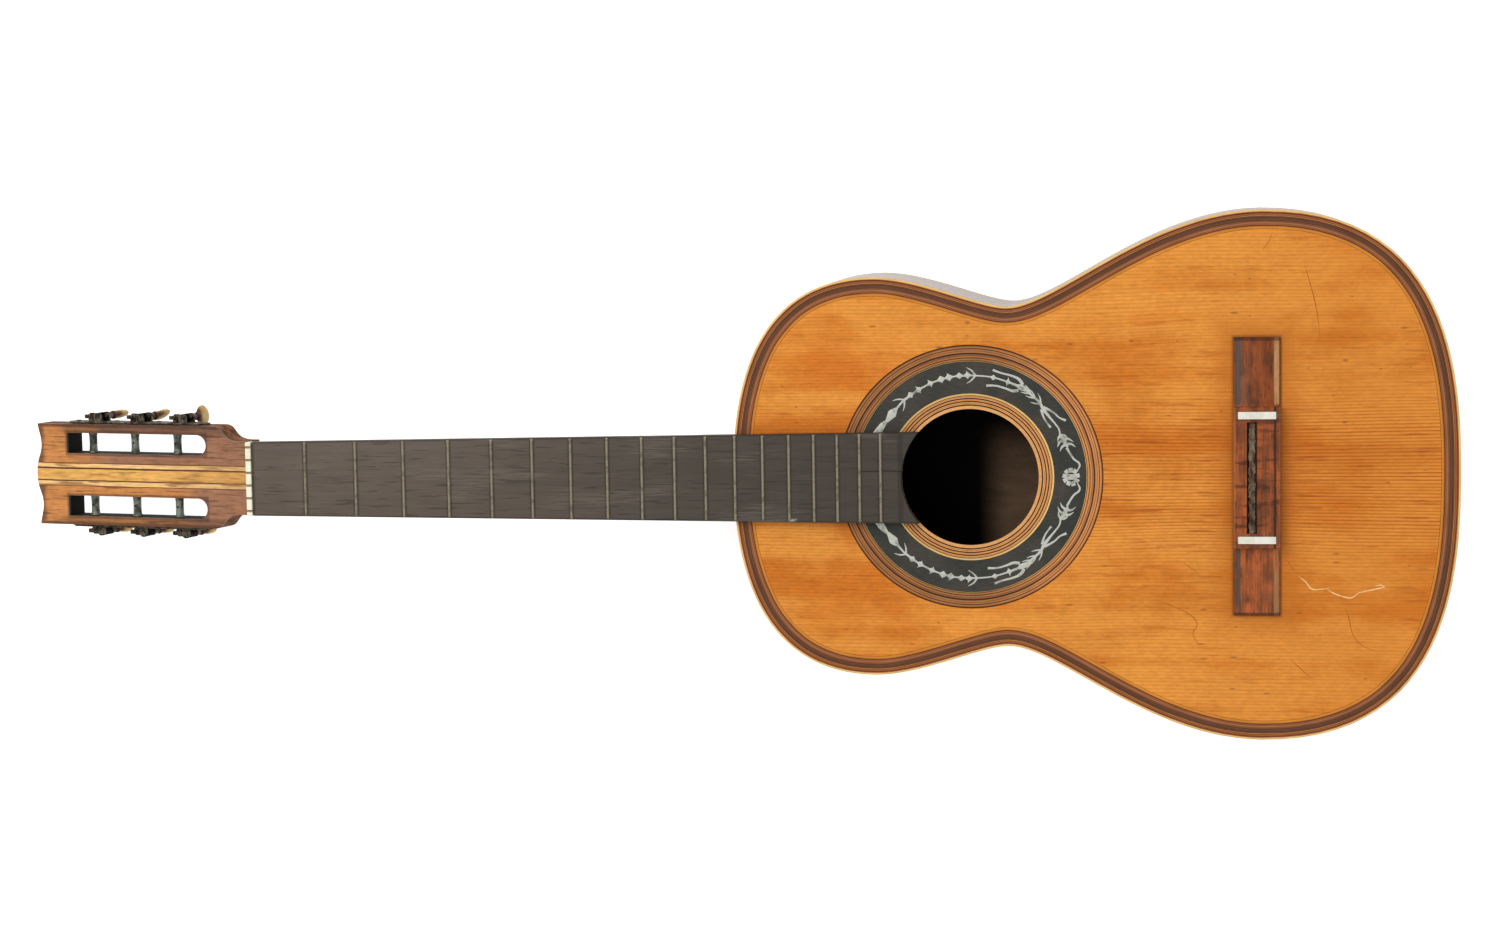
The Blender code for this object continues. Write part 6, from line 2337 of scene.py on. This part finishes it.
@dataclass(frozen=True)
class BridgeWood(Finish):
    """Worn rosewood with its grain across the body, a painted highlight on its tail-side bevels, painted
    shade on its head-side bevels and in its channel, and dark round its base.
    """

    bridge: "Bridge"

    def paint_on(self, paint: Paint) -> bpy.types.Material:
        """Streaks, dark smudges, lighter block edges, a painted highlight and painted shade on the bevels,
        painted shade in the channel, and a darker foot.
        """
        made = self.bridge
        x, y, z = paint.x - made.x, paint.y, paint.z - made.base
        streak = paint.noise((300.0, 16.0, 120.0), 3.0)
        fine = paint.noise((1700.0, 70.0, 900.0), 2.0, seed=3.0)
        patch = paint.noise((120.0, 70.0, 120.0), 3.0, seed=6.0)
        red, brown, dark = (0.37, 0.092, 0.024), (0.185, 0.056, 0.019), (0.030, 0.013, 0.008)
        colour = paint.blend((streak * 0.5 + patch * 0.5).rise(0.40, 0.60), brown, red)
        half = made.width / 2
        wing = abs(y).rise(made.block_half, made.block_half + 0.002)
        tone = 0.96 + wing * (0.46 * y.rise(0.01, -0.01) - 0.26)
        colour = paint.scaled(colour, (0.20 + 1.10 * fine + 0.52 * patch) * tone)
        smudge = paint.noise((620.0, 110.0, 120.0), 3.0, seed=13.0).rise(0.56, 0.68)
        worn_rows = paint.noise((50.0, 190.0, 60.0), 3.0, seed=15.0).rise(0.54, 0.66) * (1.0 - wing)
        # Painted highlight: a pale band along the wings' tail-side bevels, stronger on the treble side.
        worn = x.band(half - made.bevel - 0.0008, half - 0.0007, 0.0008) * wing
        pale = paint.blend(patch.rise(0.4, 0.62), (0.60, 0.31, 0.135), (0.40, 0.19, 0.080))
        # Painted shade: a dark grey band along the wings' head-side bevels.
        shaded_bevel = x.band(-half + 0.0009, -half + made.bevel + 0.0012, 0.0008) * wing * patch.rise(0.34, 0.50)
        far = abs(y).band(made.length / 2 - 0.0022, made.length / 2, 0.0008)
        block = abs(y).rise(made.block_half, made.block_half - 0.0004)
        tail_line = block * x.band(half - 0.0042, half - 0.0026, 0.0005)
        foot = z.rise(0.0009, 0.0001)
        # Painted shade: dark inside the saddle channel, below the block's face.
        deep = x.band(-0.0075, 0.0014, 0.0006) * abs(y).rise(0.037, 0.0355) * block * z.rise(0.0086, 0.0078)
        rim = block * (x.rise(-half + 0.0016, -half + 0.0004) | x.rise(half - 0.0012, half - 0.0003))
        colour = paint.over(
            colour,
            (smudge * 0.45, dark),
            (worn_rows * 0.6, dark),
            (worn * (0.45 + 0.5 * y.rise(-0.04, 0.04)), paint.scaled(pale, 0.6 + 0.8 * fine)),
            (shaded_bevel * 0.85, (0.075, 0.062, 0.050)),
            (far * 0.6, dark),
            ((tail_line | foot | deep) * 0.8, dark),
            (rim * 0.45, (0.42, 0.19, 0.075)),
        )
        return paint.surface(colour, 0.40 + 0.2 * patch, paint.bump(fine + streak, 0.00007), coat=0.08)


@dataclass(frozen=True)
class Crust(Finish):
    """Old glue and dirt left in the open saddle channel."""

    def paint_on(self, paint: Paint) -> bpy.types.Material:
        """Grey lumps over brown."""
        lump = paint.noise((380.0, 130.0, 300.0), 3.0)
        fine = paint.noise((1500.0, 1500.0, 1500.0), 3.0, seed=4.0)
        stops = ((0.34, (0.030, 0.014, 0.009)), (0.47, (0.120, 0.070, 0.044)), (0.64, (0.235, 0.190, 0.130)))
        colour = paint.scaled(paint.ramp(lump, stops), 0.78 + 0.45 * fine)
        return paint.surface(colour, 0.85, paint.bump(lump + fine, 0.0002))


@dataclass
class Bridge:
    """The bridge: bevelled wings, the raised tie block with its channel, two bone strips and old dirt."""

    depth: float = 0.0880
    station: float = 0.6604
    width: float = 0.0294
    length: float = 0.1782
    wing: float = 0.0034
    edge: float = 0.0012
    bevel: float = 0.0032
    block: tuple[float, float, float] = (0.0906, 0.0090, 0.0012)
    channel: tuple[float, float, float] = (0.0064, 0.0712, 0.0030)
    channel_back: float = 0.0032
    saddle: tuple[float, float] = (0.0025, 0.0028)
    strip_y: float = 0.0398
    strip: tuple[float, float, float] = (0.0240, 0.0048, 0.0012)
    string_spread: float = 0.0580
    hole: tuple[float, float] = (0.0010, 0.0046)
    crust: tuple[float, float, float] = (0.0014, 0.0050, 0.0016)
    crust_short: float = 0.0004

    @property
    def x(self) -> float:
        """The X of the bridge's middle."""
        return self.station + NUT_X

    @property
    def base(self) -> float:
        """The Z of its underside."""
        return self.depth + GAP

    @property
    def block_half(self) -> float:
        """Half the tie block's length."""
        return self.block[0] / 2

    @property
    def top(self) -> float:
        """The Z of the tie block's face."""
        return self.base + self.block[1]

    @property
    def channel_edge(self) -> float:
        """The X of the saddle channel's wall towards the soundhole."""
        return self.x - self.channel_back - self.channel[0] / 2

    def make_wood(self) -> None:
        """Wings and block, cut for the saddle, the strips and the strings."""
        half_x, half_y = self.width / 2, self.length / 2
        low, high = (self.x - half_x, -half_y, self.base), (self.x + half_x, half_y, self.base + self.edge)
        wood = add_box("bridge_wood", low, high)
        with editing(wood):
            pick(wood, Kind.FACE, lambda face: face.normal.z > 0.9)
            grow((0.0, 0.0, self.wing - self.edge))
            wide, long = 1.0 - self.bevel / half_x, 1.0 - 0.5 * self.bevel / half_y
            stretch((wide, long, 1.0), (self.x, 0.0, 0.0))
        low = (self.x - half_x, -self.block_half, self.base)
        block = add_box("block", low, (self.x + half_x, self.block_half, self.top))
        with editing(block):
            pick(block, Kind.EDGE, lambda e: middle(e).z > self.top - 1e-5)
            bpy.ops.mesh.bevel(offset=self.block[2], segments=3)
        carve(wood, block, way="UNION")
        ease(wood, 0.0003, 2, 35.0)
        wide, long, deep = self.channel
        x, over = self.channel_edge, self.top + 0.01
        floor = self.top - deep
        cuts = [
            add_box("channel", (x, -long / 2, floor), (x + wide, long / 2, over)),
            add_box("slot", (x, -long / 2, floor - self.saddle[1]), (x + self.saddle[0], long / 2, over)),
        ]
        size = Vector(self.strip)
        for side in Side:
            y = side.value * self.strip_y
            for name, spare, high in (("seat", FIT, over), (f"bone_strip_{side.label}", 0.0, self.top)):
                reach = (size.x / 2 + spare, size.y / 2 + spare)
                low = (self.x - reach[0], y - reach[1], self.top - size.z - spare)
                cuts.append(add_box(name, low, (self.x + reach[0], y + reach[1], high)))
            strip = ease(cuts.pop(), 0.0003, 3)
            hand_over(strip, STRIP_BONE, "aged_bone", f"bridge_bone_{side.label}")
        x, z = self.x - self.channel_back, self.base + self.hole[1]
        for y in string_places(self.string_spread):
            cuts.append(add_rod("hole", self.hole[0], (x, y, z), (self.x + half_x + CLEAR, y, z), 20))
        carve(wood, *cuts)
        hand_over(wood, BridgeWood("bridge_rosewood", self), "bridge_wood", "bridge")

    def make_crust(self) -> None:
        """The lumpy remains on the channel's floor, beside the saddle slot."""
        low, high, thick = self.crust
        half = self.channel[1] / 2 - self.crust_short
        floor = self.top - self.channel[2]
        x = self.channel_edge
        crust = add_box("channel_crust", (x + low, -half, floor), (x + high, half, floor + thick))
        with editing(crust):
            pick(crust, Kind.EDGE, lambda e: abs(e.verts[0].co.y - e.verts[1].co.y) > 0.01)
            bpy.ops.mesh.subdivide(number_cuts=110)
            pick(crust, Kind.EDGE, lambda e: abs(e.verts[0].co.x - e.verts[1].co.x) > 0.002)
            bpy.ops.mesh.subdivide(number_cuts=7)
        grit = bpy.data.textures.new("grit", "CLOUDS")
        grit.noise_scale = 0.0032
        grit.noise_depth = 3
        grit.cloud_type = "COLOR"
        chosen = [v.index for v in crust.data.vertices if v.co.z > floor + 0.001]
        crust.vertex_groups.new(name="top").add(chosen, 1.0, "REPLACE")
        lumps = {"direction": "RGB_TO_XYZ", "vertex_group": "top", "strength": 0.0028, "mid_level": 0.5}
        work(crust, "DISPLACE", texture=grit, **lumps)
        plug = add_box("plug", (x + low, -half, floor - self.saddle[1]), (x + self.saddle[0], half, floor))
        crust = join("channel_crust", [crust, ease(plug, 0.0002, 1)])
        hand_over(crust, Crust("old_glue"), "bridge_wood", angle=60.0)

    def build(self) -> None:
        """Make the bridge."""
        self.make_wood()
        self.make_crust()


# ---------------------------------------------------------------- studio


@dataclass
class Studio:
    """The camera at the photograph's angle, a plain pale floor and soft light from the upper left."""

    camera_at: Point = (0.3097922, 0.2000000, 2.0755029)
    camera_turn: Point = (-5.604389, 8.131296, -0.905805)
    lens: float = 74.237457
    floor_size: float = 12.0
    world: float = 0.60
    key: tuple[Point, float, float] = ((-1.1, 1.3, 2.2), 1.8, 34.0)
    fill: tuple[Point, float, float] = ((1.4, -1.2, 1.8), 2.2, 7.0)
    floor_z: float = -0.0012
    floor_glow: float = 0.68

    def make_camera(self) -> None:
        """The camera, with no shift and no depth of field."""
        data = bpy.data.cameras.new("camera")
        data.lens, data.sensor_width = self.lens, 36.0
        turn = [math.radians(angle) for angle in self.camera_turn]
        bpy.context.scene.camera = placed("camera", data, self.camera_at, turn)

    def make_lamp(self, name: str, place: Point, size: float, power: float) -> None:
        """A soft square lamp that looks at the guitar's middle.

        Args:
            name: The lamp's name.
            place: Where it hangs.
            size: Its side.
            power: Its watts.
        """
        data = bpy.data.lights.new(name, "AREA")
        data.size, data.energy = size, power
        placed(name, data, place, Vector(place).to_track_quat("Z", "Y").to_euler())

    def make_floor(self) -> None:
        """A floor that the camera and reflections see as white, with the guitar's shadow kept."""
        bpy.ops.mesh.primitive_plane_add(size=self.floor_size, location=(0.0, 0.0, self.floor_z))
        floor = named("floor")
        paint = Paint(bpy.data.materials.new("floor_paper"))
        sees = paint.node("ShaderNodeLightPath", {}, {}, out="Is Camera Ray")
        seen = sees | sees.beside("Is Glossy Ray") | sees.beside("Is Transmission Ray")
        shade = paint.scaled((0.80, 0.80, 0.80), 0.985 + 0.03 * paint.noise((30.0, 30.0, 30.0), 3.0))
        white = {"Color": (1.0, 1.0, 1.0), "Strength": self.floor_glow}
        glow = paint.node("ShaderNodeEmission", {}, white)
        paper = paint.node("ShaderNodeBsdfPrincipled", {}, {"Base Color": shade, "Roughness": 0.9})
        bright = paint.node("ShaderNodeAddShader", {}, {0: glow, 1: paper})
        mixed = paint.node("ShaderNodeMixShader", {}, {0: seen, 1: paper, 2: bright})
        floor.data.materials.append(paint.close(mixed))

    def make_world(self) -> None:
        """An even pale surround, white to the camera."""
        paint = Paint(bpy.data.worlds.new("surround"))
        sees = paint.node("ShaderNodeLightPath", {}, {}, out="Is Camera Ray")
        soft, white = (
            paint.node("ShaderNodeBackground", {}, {"Color": (1.0, 1.0, 1.0), "Strength": strength})
            for strength in (self.world, 1.0)
        )
        seen = sees | sees.beside("Is Transmission Ray")
        mixed = paint.node("ShaderNodeMixShader", {}, {0: seen, 1: soft, 2: white})
        bpy.context.scene.world = paint.close(mixed)

    def build(self) -> None:
        """Set up the whole studio."""
        bpy.context.scene.view_settings.view_transform = "Standard"
        self.make_camera()
        self.make_floor()
        self.make_world()
        self.make_lamp("key", *self.key)
        self.make_lamp("fill", *self.fill)


# ---------------------------------------------------------------- the guitar


def main() -> None:
    """Build every sub-assembly in order, then the studio."""
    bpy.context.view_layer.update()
    outline = Outline()
    bridge = Bridge()
    body = Body(outline)
    body.build(bridge)
    bridge.build()
    Rosette(body).build()
    board = Fingerboard(body)
    board.build()
    neck = Neck(board)
    neck.build()
    head = Head(neck)
    tuners = Tuners(head)
    head.build(tuners.places)
    tuners.build()
    Studio().build()


if __name__ == "__main__":
    logging.basicConfig(level=logging.INFO, format="%(name)s: %(message)s", stream=sys.stdout)
    main()
